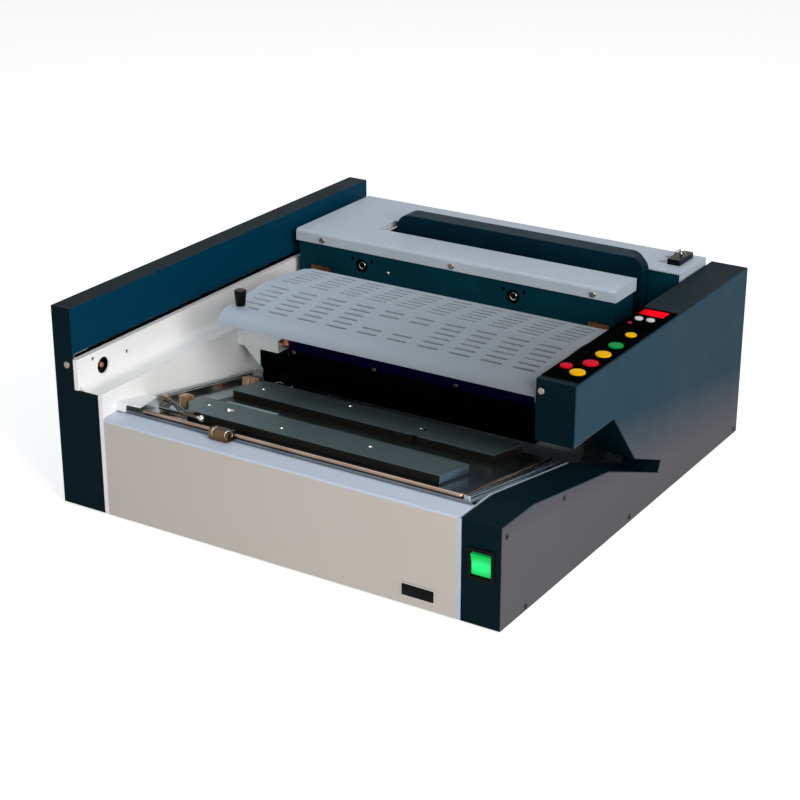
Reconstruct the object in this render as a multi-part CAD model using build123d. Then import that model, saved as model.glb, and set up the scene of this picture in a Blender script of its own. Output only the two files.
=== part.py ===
from build123d import *
import math
import os

# A desk-top perfect binding machine that stands on four feet, in millimetres.
# +X is to the operator's right, +Y to the back, +Z up.
# The origin is the middle of the footprint, on the table.

# Whole machine
WIDTH = 500.0
DEPTH = 520.0
FIN_TOP = 210.0
SHEET = 1.5
SKIRT_GAP = 2.0
TRIM = 3.0
FOOT_HEIGHT = 6.0
FOOT_RADIUS = 12.0
FOOT_INSET = 30.0
BASE_THICK = 2.0

LEFT = -WIDTH / 2
RIGHT = WIDTH / 2
FRONT = -DEPTH / 2
BACK = DEPTH / 2
BASE_TOP = FOOT_HEIGHT + BASE_THICK

# Clearances
RUN = 0.05
SLIDE = 0.1
EASY = 0.3
SWING = 1.0

# Left side: a tall fin and a lower box
FIN_WIDTH = 23.4
LEFT_BOX_WIDTH = 52.5
LEFT_BOX_TOP = 127.0
FIN_IN = LEFT + FIN_WIDTH
LEFT_WALL = LEFT + LEFT_BOX_WIDTH
ROD_SLOT_LOW = 158.5
ROD_SLOT_HIGH = 163.7
RAIL_FACE = FIN_IN + 4.6
RAIL_BEND = 10.0
SHELF_END = BACK - 293.0
WALL_FOOT = BACK - 254.0
WALL_FOOT_Z = 66.0
STRIP = 5.0
FIN_SCREW_IN = 7.4
FIN_SCREW_DROP = 58.2

# Right side: a low front, a notch for long cover sheets and a high box
RIGHT_BOX_WIDTH = 41.0
RIGHT_BOX = RIGHT - RIGHT_BOX_WIDTH
RIGHT_WALL = RIGHT_BOX - 4.0
LOW_TOP = 103.0
EDGE_RISE = 2.0
NOTCH_Y = BACK - 314.0
NOTCH_LOW = (BACK - 200.7, 30.7)
NOTCH_TIP = (BACK - 195.1, 42.2)
NOTCH_KNEE = (BACK - 257.2, 67.4)
NOTCH_TOP = (BACK - 308.4, 127.8)
UPPER_FRONT = BACK - 389.3
BOX_SCREW_IN = 5.6
BOX_SCREW_DROP = 11.4
UPPER_TOP = 188.4
FRAME_PLATE = 2.0
COVER_ROUND = 1.2

# Front and rear panels
PANEL_FLANGE = 28.0
REAR_TOP = 178.0
REAR_FLANGE = 8.0
VENT_LENGTH = 34.0
VENT_WIDTH = 4.0
VENT_PITCH = 10.0
VENT_ROWS = 6
VENT_COLUMNS = (-120.0, -70.0, -20.0, 30.0)
VENT_LOW = 90.0

# Sloping table that carries the cover sheet
TABLE_Y = FRONT + 41.0
TABLE_Z = 103.7
TILT = 10.2
TRAY_THICK = 2.0
TRAY_FRONT = -16.2
TRAY_LENGTH = (NOTCH_Y - TABLE_Y) / math.cos(math.radians(TILT))
NIP_THICK = 5.0
NIP_LEFT = LEFT_WALL + 47.5
NIP_RIGHT = RIGHT_BOX - 47.0
NIP_LENGTH = NIP_RIGHT - NIP_LEFT
NIP_FRONT = 5.0
NIP_REAR = TRAY_LENGTH - 2.65
NIP_DEPTH = NIP_REAR - NIP_FRONT
NIP_ROOM_FRONT = 3.0
NIP_PIVOT_IN = 3.0
NIP_PIVOT_DROP = 8.0
NIP_PIN = 3.0
LUG = 6.0

# Nip plates on the table
PLATE_THICK = 9.0
PLATE_RIGHT = NIP_RIGHT - 4.0
PLATE_CORNER = 6.0
PLATE_CHAMFER = (21.0, 28.0)
PLATE_SCREW = 4.2
FRONT_PLATE_LEFT = NIP_LEFT + 3.0
FRONT_PLATE_LENGTH = PLATE_RIGHT - FRONT_PLATE_LEFT
FRONT_PLATE = (NIP_FRONT + 0.4, NIP_FRONT + 0.34 * NIP_DEPTH)
REAR_PLATE = (NIP_FRONT + 0.625 * NIP_DEPTH, NIP_REAR - 2.0)
FRONT_PLATE_DEPTH = FRONT_PLATE[1] - FRONT_PLATE[0]
REAR_PLATE_DEPTH = REAR_PLATE[1] - REAR_PLATE[0]
FRONT_SCREWS = ((0.0741, 0.595), (0.3905, 0.344), (0.6925, 0.584))
REAR_SCREWS = ((0.0724, 0.491), (0.3838, 0.759), (0.6851, 0.483))
PLATE_HOLE = (0.1551, 0.595)
PLATE_HOLE_RADIUS = 5.5
NOTCH_SHARE = 0.7078
NOTCH_WIDTH = 6.0
PLATE_REST = 5.5
PLATE_TRAVEL = REAR_PLATE[0] - FRONT_PLATE[1] - PLATE_REST
GUIDE_PIN = 4.0
GUIDE_PINS = (NIP_LEFT + 40.0, NIP_RIGHT - 42.0)
GUIDE_PIN_V = FRONT_PLATE[0] + 0.455 * FRONT_PLATE_DEPTH

# Lift cams below the nip table
CAM_Y = FRONT + 100.0
CAM_BASE = 8.0
CAM_GEARING = 20.0
CAM_SHAFT = 4.0
CAM_GAP = 0.8
CAM_WIDTH = 8.0
CAM_PLACES = (NIP_LEFT + 50.0, NIP_RIGHT - 62.0)
POST_WIDTH = 6.0
POST_DEPTH = 16.0
LIFT_MOTOR_RADIUS = 10.5
LIFT_MOTOR_LENGTH = 22.0

# Rim, rails and small fittings on the tray
RIM_WIDTH = 3.0
RIM_HEIGHT = 4.0
RIM_FRONT = TRAY_FRONT + 1.7
RIM_LEFT = LEFT_WALL + 32.5
RIM_RIGHT = RIGHT_WALL - 12.0
RAIL_WIDTHS = (4.0, 2.0)
RAIL_PLACES = (LEFT_WALL + 5.5, LEFT_WALL + 15.5)
RAIL_HEIGHTS = (8.0, 6.0)
RAIL_START = 42.0
RAIL_END = NIP_REAR - 5.0
LEFT_RAIL_END = RAIL_END + 42.0
GUIDE_LIP = 12.0
GUIDE_TOP = 6.5
GUIDE_REACH = (28.0, 14.0)
GUIDE_END = 28.0
LEVER_PIVOT = (LEFT_WALL + 25.5, 29.0)
LEVER_PIN = 3.0
LEVER_BOSS = 5.5
LEVER_LOW = 7.0
LEVER_THICK = 1.5
LEVER_TIP = (55.0, -33.0)
LEVER_SIDE = (22.0, -38.5)
LEVER_PLATE = (11.0, 4.0)
LEVER_REACH = 17.8
LEVER_BALL = 3.2
FRONT_BLOCK = (11.0, 11.0, 11.0)
FRONT_BLOCK_V = 38.0
REAR_BLOCK = (15.0, 9.0, 11.0)
BRACKET = (12.0, 5.0, 16.0)
STOP_LEFT = LEFT_WALL + 118.5
STOP_WIDTH = 22.5
STOP_AHEAD = 7.2
STOP_LOW = -3.4
STOP_HEIGHT = 6.5

# Carriage
CARRIAGE_TRAVEL = DEPTH - 222.0
COVER_TOP = 195.0
COVER_LEFT = LEFT + 33.0
COVER_RIGHT = RIGHT - 43.5
COVER_FRONT = BACK - 157.0
COVER_REAR = BACK - 10.0
COVER_LIP = 182.0
BAR_RIGHT = RIGHT_BOX - 35.0
OPENING_LEFT = COVER_LEFT + 78.0
OPENING_FRONT = COVER_FRONT + 47.0
OPENING_REAR = COVER_FRONT + 83.0
COVER_CORNER = 4.0
COVER_SCREW_DEPTH = 6.0
BEAM_LOW = 130.0
BEAM_WALL = 2.5
BEAM_FRONT = COVER_FRONT + 2.0
BEAM_REAR = OPENING_FRONT - 3.0
BEAM_RIGHT = BAR_RIGHT - 2.0
BEAM_LEFT = COVER_LEFT + 3.0
BEAM_TOP = COVER_TOP - SHEET
END_RIGHT = BEAM_LEFT + 26.0
WEB_FRONT = OPENING_REAR + EASY
WEB_REAR = COVER_REAR - 4.0
WEB_THICK = 6.0
WEB_RIGHT = RIGHT_BOX - 4.0
SOCKETS = (OPENING_LEFT + 6.7, BAR_RIGHT - 118.7)
SOCKET_Z = 166.2
SOCKET_RADIUS = 7.75
SOCKET_WALL = 1.0
SOCKET_DEPTH = 6.0
SOCKET_TUBE = (4.0, 2.8)
SOCKET_SCREW = (12.3, 6.4)
BRASS_BARS = ((COVER_LEFT + 19.5, COVER_LEFT + 46.5), (BAR_RIGHT - 30.5, BAR_RIGHT - 6.5))
BRASS_Z = 151.5
BRASS_HEIGHT = 5.5
COVER_SCREWS = (COVER_LEFT + 35.0, COVER_LEFT + 199.0, BAR_RIGHT - 26.0)
COVER_SCREW_DROP = 8.0
CLIP_IN = 11.5
CLIP_SIZE = (14.0, 34.0, 6.0)
CLIP_BACK = 8.0

# Guide rods and slides
ROD_RADIUS = 5.0
LEFT_ROD_X = LEFT + 13.0
LEFT_ROD_Z = 161.0
RIGHT_ROD_X = RIGHT - 26.0
RIGHT_ROD_Z = 158.0
ROD_END = 3.0
SLIDE_HALF = 9.0
LEFT_SLIDE = (OPENING_FRONT + 2.0, OPENING_FRONT + 58.0)
RIGHT_SLIDE = (OPENING_FRONT + 45.0, OPENING_FRONT + 95.0)
ARM_THICK = 2.8

# Belt drive in the left side
BELT_X = LEFT + 14.0
BELT_WIDTH = 6.0
BELT_THICK = 2.0
PULLEY_RADIUS = 8.0
PULLEY_Z = 141.1
PULLEY_FRONT = FRONT + 38.2
PULLEY_REAR = BACK - 32.0
SHAFT_RADIUS = 2.5
PEEP_HOLE = 8.5
CARRIAGE_MOTOR_RADIUS = 16.0
CARRIAGE_MOTOR_LENGTH = 30.0

# Clamp jaw and its drive
JAW_FRONT = OPENING_FRONT + 21.5
JAW_THICK = 13.0
JAW_LEFT = OPENING_LEFT + 10.0
JAW_RIGHT = BAR_RIGHT - 3.0
JAW_LOW = 131.0
JAW_TOP = 208.5
JAW_CORNER = 15.0
JAW_LEDGE = 10.0
JAW_LEDGE_INSET = 8.0
JAW_LEDGE_LOW = COVER_TOP + 2.5
JAW_RODS = (JAW_LEFT + 39.0, JAW_RIGHT - 25.0)
JAW_ROD_RADIUS = 6.0
JAW_ROD_LENGTH = 52.0
JAW_AXIS_Z = 150.0
BOSS_RADIUS = 12.0
BOSS_LENGTH = 22.0
NUT_X = (JAW_LEFT + JAW_RIGHT) / 2
NUT_RADIUS = 9.0
NUT_LENGTH = 29.5
SCREW_RADIUS = 5.0
SCREW_START = 3.5
SCREW_LENGTH = 46.0
JAW_MOTOR_LENGTH = 20.0
JAW_MOTOR_HALF = 17.0
STOP_ROD_RADIUS = 3.0
STOP_ROD_X = OPENING_LEFT + 3.0
STOP_ROD_Z = 187.5

# Glue guard
GUARD_LEFT = LEFT_WALL + 45.5
GUARD_RIGHT = RIGHT_BOX - 2.0
RIDGE_Y = BACK - 301.6
RIDGE_Z = 189.0
GUARD_REAR = RIDGE_Y + 72.6
GUARD_BEND = RIDGE_Y - 70.4
GUARD_FALL = 0.1
GUARD_RADIUS = 14.0
GUARD_CORNER = 8.0
SLOT_LENGTH = 24.0
SLOT_WIDTH = 3.2
SLOT_PITCH_Y = 10.3
SLOT_COLUMNS = 10
SLOT_ROWS = 6
SLOT_START = GUARD_LEFT + 10.0
SLOT_PITCH_X = (GUARD_RIGHT - SLOT_START - 2.4) / SLOT_COLUMNS
BARE_COLUMNS = (4, 5)
BARE_ROWS = (2, 3)
KNOB_X = GUARD_LEFT + 11.5
KNOB_ROW = 5
KNOB_LOW = 4.85
KNOB_HIGH = 6.4
KNOB_HEIGHT = 16.0
KNOB_STUD = 2.5
HINGE_Y = GUARD_REAR + 2.0
HINGE_DROP = 3.7
HINGE_PIN = 2.0
HINGE_EYE = 3.5
KNUCKLE = 10.5
ARM_PLATE = 3.0
GUARD_ARMS = (GUARD_LEFT + 4.0, GUARD_RIGHT - 37.0)
ARM_TOP = 150.0
ARM_LOW = 131.0
REST_Y = RIDGE_Y - 2.0
REST_DEPTH = 8.0

# Stations below the carriage
STATION_LEFT = LEFT_WALL + 50.5
STATION_RIGHT = RIGHT_BOX - 49.0
STATION_PLATE = 3.0
STATION_TOP = 124.0
STATION_FRONT = BACK - 270.0
STATION_REAR = BACK - 142.0
STATION_LOW = 74.0
STATION_AXIS_Z = 102.0
AXLE_RADIUS = 5.0
ROLLER_RADIUS = 15.5
GEAR_TEETH = 20
GEAR_MODULE = 1.75
GEAR_WIDTH = 7.0
GEAR_GAP = 4.0
ROLLER_FRONT = STATION_FRONT + 8.5
ROLLER_REAR = ROLLER_FRONT + GEAR_TEETH * GEAR_MODULE
TANK_WALL = 3.0
TANK_LEFT = STATION_LEFT + 15.0
TANK_AHEAD = 33.5
TANK_BEHIND = 20.5
TANK_TOP = 114.0
TANK_EDGE_TOP = 126.0
HEATER_LOW = 76.0
HEATER_THICK = 4.0
CUTTER_Y = STATION_REAR - 30.0
CUTTER_RADIUS = 14.5
CUTTER_CORE = 9.0
CUTTER_BLADES = 12
BLADE_WIDTH = 3.0
ROLLER_MOTOR_RADIUS = 14.0
ROLLER_MOTOR_LENGTH = 40.0
CUTTER_MOTOR_RADIUS = 20.0
CUTTER_MOTOR_LENGTH = 40.0
MOTOR_GRIP = 8.0

# Channel bracket left of the tank
CHANNEL_FRONT = SHELF_END - 3.0
CHANNEL_DEPTH = 23.0
CHANNEL_RIGHT = LEFT_WALL + 52.5
CHANNEL_LOW = 108.0
CHANNEL_TOP = 122.5

# Power switch
SWITCH_X = RIGHT - 20.5
SWITCH_Z = 62.4
BEZEL_WIDTH = 27.0
BEZEL_HEIGHT = 31.6
BEZEL_PROUD = 2.0
ROCKER_WIDTH = 20.4
ROCKER_HALF = 10.4
ROCKER_SWING = 11.9
ROCKER_ANGLE = 7.0
ROCKER_PIN = 1.5
ROCKER_PIN_REACH = 1.2
ROCKER_SET = 5.0
SWITCH_DEPTH = 22.0

# Control panel on the right cover
MEMBRANE_THICK = 0.8
MEMBRANE_FRONT = UPPER_FRONT + 9.3
MEMBRANE_REAR = UPPER_FRONT + 220.3
KEY_PROUD = 1.4
KEY_GAP = 0.25
KEY_TRAVEL = 1.0
KEY_FLANGE = 1.2
BOARD_THICK = 1.6
BOARD_Z = UPPER_TOP - 12.4
KEYS = {
    "key_white_left": (29.0, 186.8, 4.25),
    "key_white_right": (17.0, 187.8, 4.25),
    "key_yellow_top": (15.5, 141.3, 5.5),
    "key_green": (15.0, 108.3, 7.25),
    "key_yellow_middle": (15.0, 81.8, 7.5),
    "key_red": (14.7, 55.5, 7.5),
    "key_yellow_bottom": (14.7, 29.3, 7.5),
    "key_red_small": (31.0, 38.5, 6.0),
}
LAMPS = (171.8, 158.8, 145.3, 131.1, 117.5, 104.5, 78.1, 51.8)
LAMP_X = RIGHT - 31.5
LAMP_RADIUS = 2.0
WINDOW_BACK = 6.5
WINDOW_DEPTH = 14.0

# Electrics at the back
INLET_X = RIGHT - 130.0
INLET_Z = 40.0
INLET_FLANGE = (48.0, 28.0)
INLET_BODY = (32.0, 23.0)
INLET_RECESS = (24.0, 16.0)
INLET_DEPTH = 30.0
INLET_PROUD = BEZEL_PROUD
SUPPLY = (LEFT + 60.0, LEFT + 160.0, BACK - 135.0, BACK - 25.0, 52.0)

# Case screws
SCREW_HEAD = 3.5
SCREW_PROUD = 1.6
SCREW_SHANK = 2.0
SIDE_SCREWS = ((7.5, 92.0), (45.0, 8.0), (114.0, 86.0), (DEPTH / 2 - 5.0, 9.0), (DEPTH - 8.0, 9.0))


def block(x0, x1, y0, y1, z0, z1):
    """A box between two corners."""
    middle = Pos((x0 + x1) / 2, (y0 + y1) / 2, (z0 + z1) / 2)
    return middle * Box(x1 - x0, y1 - y0, z1 - z0)


def rod_x(x0, x1, y, z, radius):
    """A round bar along X."""
    return Pos((x0 + x1) / 2, y, z) * Rot(0, 90, 0) * Cylinder(radius, x1 - x0)


def rod_y(y0, y1, x, z, radius):
    """A round bar along Y."""
    return Pos(x, (y0 + y1) / 2, z) * Rot(90, 0, 0) * Cylinder(radius, y1 - y0)


def rod_z(z0, z1, x, y, radius):
    """A round bar along Z."""
    return Pos(x, y, (z0 + z1) / 2) * Cylinder(radius, z1 - z0)


def prism_x(x0, x1, outline):
    """An outline of (y, z) points carried along X."""
    corners = [Vector(x0, y, z) for y, z in outline]
    return extrude(make_face(Polyline(*corners, close=True)), amount=x1 - x0, dir=(1, 0, 0))


def prism_y(y0, y1, outline):
    """An outline of (x, z) points carried along Y."""
    corners = [Vector(x, y0, z) for x, z in outline]
    return extrude(make_face(Polyline(*corners, close=True)), amount=y1 - y0, dir=(0, 1, 0))


def prism_z(z0, z1, outline):
    """An outline of (x, y) points carried along Z."""
    corners = [Vector(x, y, z0) for x, y in outline]
    return extrude(make_face(Polyline(*corners, close=True)), amount=z1 - z0, dir=(0, 0, 1))


def on_table(shape):
    """Lay a shape drawn in the table's own frame on the sloping table."""
    return Location((0, TABLE_Y, TABLE_Z), (-TILT, 0, 0)) * shape


def table_height(y):
    """Height of the sloping table's top at depth y."""
    return TABLE_Z - math.tan(math.radians(TILT)) * (y - TABLE_Y)


def cap_screw_y(x, z, face, depth):
    """A domed screw in a face that looks to the front."""
    head = rod_y(face - SCREW_PROUD, face, x, z, SCREW_HEAD)
    rim = head.edges().filter_by(GeomType.CIRCLE).sort_by(Axis.Y)[0]
    head = fillet(rim, SCREW_PROUD * 0.6)
    return head + rod_y(face, face + depth, x, z, SCREW_SHANK)


# Case


def base_plate():
    return block(LEFT + SHEET, RIGHT - SHEET, FRONT + SHEET, BACK - SHEET, FOOT_HEIGHT, BASE_TOP)


def rubber_feet():
    feet = []
    for x in (LEFT + FOOT_INSET, RIGHT - FOOT_INSET):
        for y in (FRONT + FOOT_INSET, BACK - FOOT_INSET):
            foot = rod_z(0, FOOT_HEIGHT, x, y, FOOT_RADIUS)
            lower = foot.edges().filter_by(GeomType.CIRCLE).sort_by(Axis.Z)[0]
            feet.append(chamfer(lower, SHEET))
    return feet


def left_side_cover():
    cover = block(LEFT, LEFT + SHEET, FRONT, BACK, SKIRT_GAP, FIN_TOP)
    for y in (FRONT, BACK - SHEET):
        cover += block(LEFT, FIN_IN, y, y + SHEET, SKIRT_GAP, FIN_TOP)
        cover += block(LEFT, LEFT_WALL, y, y + SHEET, SKIRT_GAP, LEFT_BOX_TOP)
    cover += block(LEFT, FIN_IN, FRONT, BACK, FIN_TOP - SHEET, FIN_TOP)
    cover += block(FIN_IN - SHEET, FIN_IN, FRONT, BACK, ROD_SLOT_HIGH, FIN_TOP)
    cover -= rod_y(FRONT - SWING, FRONT + SHEET + SWING, FIN_IN - FIN_SCREW_IN,
                   FIN_TOP - FIN_SCREW_DROP, SCREW_SHANK)
    return cover


def left_rail_plate():
    top_z = ROD_SLOT_LOW
    plate = block(RAIL_FACE - SHEET, RAIL_FACE, FRONT, BACK - SHEET, LEFT_BOX_TOP - SHEET, top_z)
    plate -= block(LEFT, RIGHT, FRONT - SWING, FRONT + SHEET, 0, LEFT_BOX_TOP)
    plate += block(FIN_IN, RAIL_FACE, FRONT, FRONT + SHEET, LEFT_BOX_TOP, top_z)
    plate += block(FIN_IN - SHEET, RAIL_FACE, FRONT + SHEET, BACK - SHEET, top_z - SHEET, top_z)
    shelf_z = LEFT_BOX_TOP
    plate += block(RAIL_FACE, LEFT_WALL, FRONT + SHEET, SHELF_END, shelf_z - SHEET, shelf_z)
    bend = block(RAIL_FACE, RAIL_FACE + RAIL_BEND, FRONT + SHEET, SHELF_END, shelf_z, shelf_z + RAIL_BEND)
    bend -= rod_y(FRONT, BACK, RAIL_FACE + RAIL_BEND, shelf_z + RAIL_BEND, RAIL_BEND)
    plate += bend
    plate -= rod_x(LEFT, LEFT_WALL, PULLEY_FRONT, PULLEY_Z, PEEP_HOLE)
    plate -= rod_x(LEFT, LEFT_WALL, PULLEY_REAR, PULLEY_Z, SHAFT_RADIUS + SWING)
    plate -= rod_x(LEFT, LEFT_WALL, FRONT + 23.8, PULLEY_Z + 11.5, SCREW_SHANK)
    plate -= rod_x(LEFT, LEFT_WALL, FRONT + 74.9, PULLEY_Z + 2.7, SCREW_SHANK)
    return plate


def left_inner_wall():
    outline = [
        (FRONT + SHEET, BASE_TOP),
        (FRONT + SHEET, LEFT_BOX_TOP),
        (SHELF_END, LEFT_BOX_TOP),
        (WALL_FOOT, WALL_FOOT_Z),
        (WALL_FOOT, BASE_TOP),
    ]
    wall = prism_x(LEFT_WALL, LEFT_WALL + SHEET, outline)
    wall += block(LEFT_WALL, LEFT_WALL + STRIP, FRONT, FRONT + SHEET, SKIRT_GAP, LEFT_BOX_TOP)
    return wall + on_table(corner_guide())


def corner_guide():
    """A bent sheet on the wall, over the tray's front corner, drawn in the table's own frame."""
    x0 = LEFT_WALL + SHEET
    front = TRAY_FRONT - SHEET / 2
    reach_front, reach_rear = GUIDE_REACH
    sheet = prism_z(GUIDE_TOP - SHEET, GUIDE_TOP, [
        (x0, front),
        (x0 + GUIDE_LIP, front),
        (x0 + reach_front, front + SHEET),
        (x0 + reach_rear, GUIDE_END),
        (x0, GUIDE_END),
    ])
    return sheet + block(x0, x0 + GUIDE_LIP, front - SHEET, front, -TRAY_THICK, GUIDE_TOP)


def slope_start():
    """Depth at which the right cover's level edge meets its sloping edge."""
    return TABLE_Y - (LOW_TOP - EDGE_RISE - TABLE_Z) / math.tan(math.radians(TILT))


def cover_outline():
    """The right cover seen from the side, as (y, z) points."""
    return [
        (FRONT, SKIRT_GAP),
        (FRONT, LOW_TOP),
        (slope_start(), LOW_TOP),
        (NOTCH_Y, table_height(NOTCH_Y) + EDGE_RISE),
        NOTCH_LOW,
        NOTCH_TIP,
        NOTCH_KNEE,
        NOTCH_TOP,
        (UPPER_FRONT, NOTCH_TOP[1]),
        (UPPER_FRONT, UPPER_TOP),
        (BACK, UPPER_TOP),
        (BACK, SKIRT_GAP),
    ]


def cover_inside(x0, x1):
    """The room inside the right cover's sheet, between two places along X."""
    corners = [Vector(x0, y, z) for y, z in cover_outline()]
    face = make_face(Polyline(*corners, close=True))
    inner = offset(face, amount=-SHEET, kind=Kind.INTERSECTION)
    return extrude(inner, amount=x1 - x0, dir=(1, 0, 0))


def key_place(name):
    """Middle of a key as x, y and its radius."""
    inset, setback, radius = KEYS[name]
    return RIGHT - inset, UPPER_FRONT + setback, radius


def key_holes(shape):
    for name in KEYS:
        x, y, radius = key_place(name)
        shape -= rod_z(UPPER_TOP - SHEET - SWING, UPPER_TOP + SWING, x, y, radius + KEY_GAP)
    return shape


def right_side_cover():
    cover = prism_x(RIGHT_BOX, RIGHT, cover_outline())
    outer = cover.edges().group_by(Axis.X)[-1]
    cover = fillet(outer, COVER_ROUND)
    cover -= cover_inside(RIGHT_BOX - SWING, RIGHT - SHEET)
    low = SKIRT_GAP + SHEET + SWING
    cover -= block(RIGHT_BOX - SWING, RIGHT - SHEET, FRONT + SHEET, BACK - SHEET, 0, low)
    half_x = BEZEL_WIDTH / 2 - SHEET
    half_z = BEZEL_HEIGHT / 2 - SHEET
    cover -= block(SWITCH_X - half_x, SWITCH_X + half_x, FRONT - SWING, FRONT + SHEET + SWING,
                   SWITCH_Z - half_z, SWITCH_Z + half_z)
    for setback, z in SIDE_SCREWS:
        cover -= rod_x(RIGHT - SHEET - SWING, RIGHT + SWING, FRONT + setback, z, SCREW_SHANK)
    cover -= rod_y(UPPER_FRONT - SWING, UPPER_FRONT + SHEET + SWING, RIGHT_BOX + BOX_SCREW_IN,
                   UPPER_TOP - BOX_SCREW_DROP, SCREW_SHANK)
    return key_holes(cover)


def right_frame_plate():
    plate = cover_inside(RIGHT_BOX, RIGHT_BOX + FRAME_PLATE)
    plate -= block(RIGHT_BOX - SWING, RIGHT, FRONT, BACK, 0, BASE_TOP)
    slot_front = RIGHT_SLIDE[0] - CARRIAGE_TRAVEL - SWING
    slot_rear = RIGHT_SLIDE[1] + SWING
    plate -= block(RIGHT_BOX - SWING, RIGHT, slot_front, slot_rear,
                   RIGHT_ROD_Z - SLIDE_HALF + SWING, RIGHT_ROD_Z + SLIDE_HALF - SWING)
    return plate


def right_inner_wall():
    fall = SWING
    outline = [
        (FRONT + SHEET, BASE_TOP),
        (FRONT + SHEET, LOW_TOP - fall),
        (slope_start(), LOW_TOP - fall),
        (NOTCH_Y, table_height(NOTCH_Y) + EDGE_RISE - fall),
        (NOTCH_Y, BASE_TOP),
    ]
    wall = prism_x(RIGHT_WALL, RIGHT_WALL + SHEET, outline)
    return wall + block(RIGHT_BOX - STRIP, RIGHT_BOX, FRONT, FRONT + SHEET, SKIRT_GAP, LOW_TOP - fall)


def front_panel():
    left = LEFT_WALL + STRIP
    right = RIGHT_BOX - STRIP
    panel = block(left, right, FRONT, FRONT + SHEET, SKIRT_GAP, LOW_TOP)
    panel += block(LEFT_WALL + SHEET, RIGHT_WALL, FRONT + SHEET, FRONT + PANEL_FLANGE,
                   LOW_TOP - SHEET, LOW_TOP)
    edge = panel.edges().filter_by(Axis.X).group_by(Axis.Y)[0].sort_by(Axis.Z)[-1]
    return fillet(edge, COVER_ROUND)


def rear_panel():
    panel = block(LEFT_WALL, RIGHT_BOX, BACK - SHEET, BACK, SKIRT_GAP, REAR_TOP)
    panel += block(FIN_IN, LEFT_WALL, BACK - SHEET, BACK, LEFT_BOX_TOP, REAR_TOP)
    panel += block(FIN_IN, RIGHT_BOX, BACK - REAR_FLANGE, BACK, REAR_TOP - SHEET, REAR_TOP)
    for x in VENT_COLUMNS:
        for row in range(VENT_ROWS):
            z = VENT_LOW + row * VENT_PITCH
            vent = SlotOverall(VENT_LENGTH, VENT_WIDTH)
            panel -= Pos(x, BACK + SWING, z) * Rot(90, 0, 0) * extrude(vent, amount=SHEET + 2 * SWING)
    width, height = INLET_BODY
    panel -= block(INLET_X - width / 2, INLET_X + width / 2, BACK - SHEET - SWING, BACK + SWING,
                   INLET_Z - height / 2, INLET_Z + height / 2)
    return panel


# Sloping tray and nip


def cover_tray():
    start = TABLE_Y + TRAY_FRONT * math.cos(math.radians(TILT))
    top = [(start, table_height(start)), (NOTCH_Y, table_height(NOTCH_Y)),
           (NOTCH_LOW[0], NOTCH_LOW[1] - SHEET)]
    outline = top + [(y, z - TRAY_THICK) for y, z in reversed(top)]
    tray = prism_x(LEFT_WALL + SHEET, RIGHT_WALL, outline)
    tray += block(LEFT_WALL + SHEET, RIGHT_WALL, start, start + SHEET, LOW_TOP + SWING / 2,
                  table_height(start + SHEET))
    hole = block(NIP_LEFT - SWING, NIP_RIGHT + SWING, NIP_FRONT - NIP_ROOM_FRONT, NIP_REAR + SWING,
                 -2 * TRAY_THICK, 2 * TRAY_THICK)
    return tray - on_table(hole)


def pivot_place():
    """The nip table's hinge line in the table's own frame."""
    return NIP_FRONT + NIP_PIVOT_IN, -NIP_PIVOT_DROP


def pivot_in_machine():
    """The nip table's hinge line as the machine's y and z."""
    v, w = pivot_place()
    tilt = math.radians(TILT)
    y = TABLE_Y + v * math.cos(tilt) + w * math.sin(tilt)
    z = TABLE_Z - v * math.sin(tilt) + w * math.cos(tilt)
    return y, z


def nip_table():
    v, w = pivot_place()
    table = block(NIP_LEFT, NIP_RIGHT, NIP_FRONT, NIP_REAR, -NIP_THICK, 0)
    lug_low = w - NIP_PIN
    for x0, x1, x_pin in ((NIP_LEFT, NIP_LEFT + LUG, NIP_LEFT - SWING - POST_WIDTH),
                          (NIP_RIGHT - LUG, NIP_RIGHT, NIP_RIGHT + SWING + POST_WIDTH)):
        table += block(x0, x1, v - NIP_PIN, v + NIP_PIN + SWING, lug_low, -NIP_THICK)
        table += rod_x(min(x0, x_pin), max(x1, x_pin), v, w, NIP_PIN)
    for x in GUIDE_PINS:
        reach = GUIDE_PIN + EASY
        table -= block(x - reach, x + reach, GUIDE_PIN_V - reach, GUIDE_PIN_V + reach + PLATE_TRAVEL,
                       -NIP_THICK - SWING, SWING)
    return on_table(table)


def on_front_plate(share_x, share_v):
    """A place on the front plate, from shares of its length and depth."""
    return FRONT_PLATE_LEFT + share_x * FRONT_PLATE_LENGTH, FRONT_PLATE[0] + share_v * FRONT_PLATE_DEPTH


def on_rear_plate(share_x, share_v):
    """A place on the rear plate, from shares of the table's length and the plate's depth."""
    return NIP_LEFT + share_x * NIP_LENGTH, REAR_PLATE[0] + share_v * REAR_PLATE_DEPTH


def seat(plate, place, radius):
    """Cut a round hole through a nip plate."""
    return plate - rod_z(-SWING, PLATE_THICK + SWING, *place, radius)


def nip_front_plate():
    v0, v1 = FRONT_PLATE
    across, along = PLATE_CHAMFER
    plate = prism_z(SLIDE, PLATE_THICK, [
        (FRONT_PLATE_LEFT + across, v0),
        (PLATE_RIGHT, v0),
        (PLATE_RIGHT, v1),
        (FRONT_PLATE_LEFT, v1),
        (FRONT_PLATE_LEFT, v0 + along),
    ])
    for shares in FRONT_SCREWS:
        plate = seat(plate, on_front_plate(*shares), PLATE_SCREW)
    plate = seat(plate, on_front_plate(*PLATE_HOLE), PLATE_HOLE_RADIUS)
    for x in GUIDE_PINS:
        plate += rod_z(-NIP_THICK - EASY, PLATE_THICK / 2, x, GUIDE_PIN_V, GUIDE_PIN)
    return on_table(plate)


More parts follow.
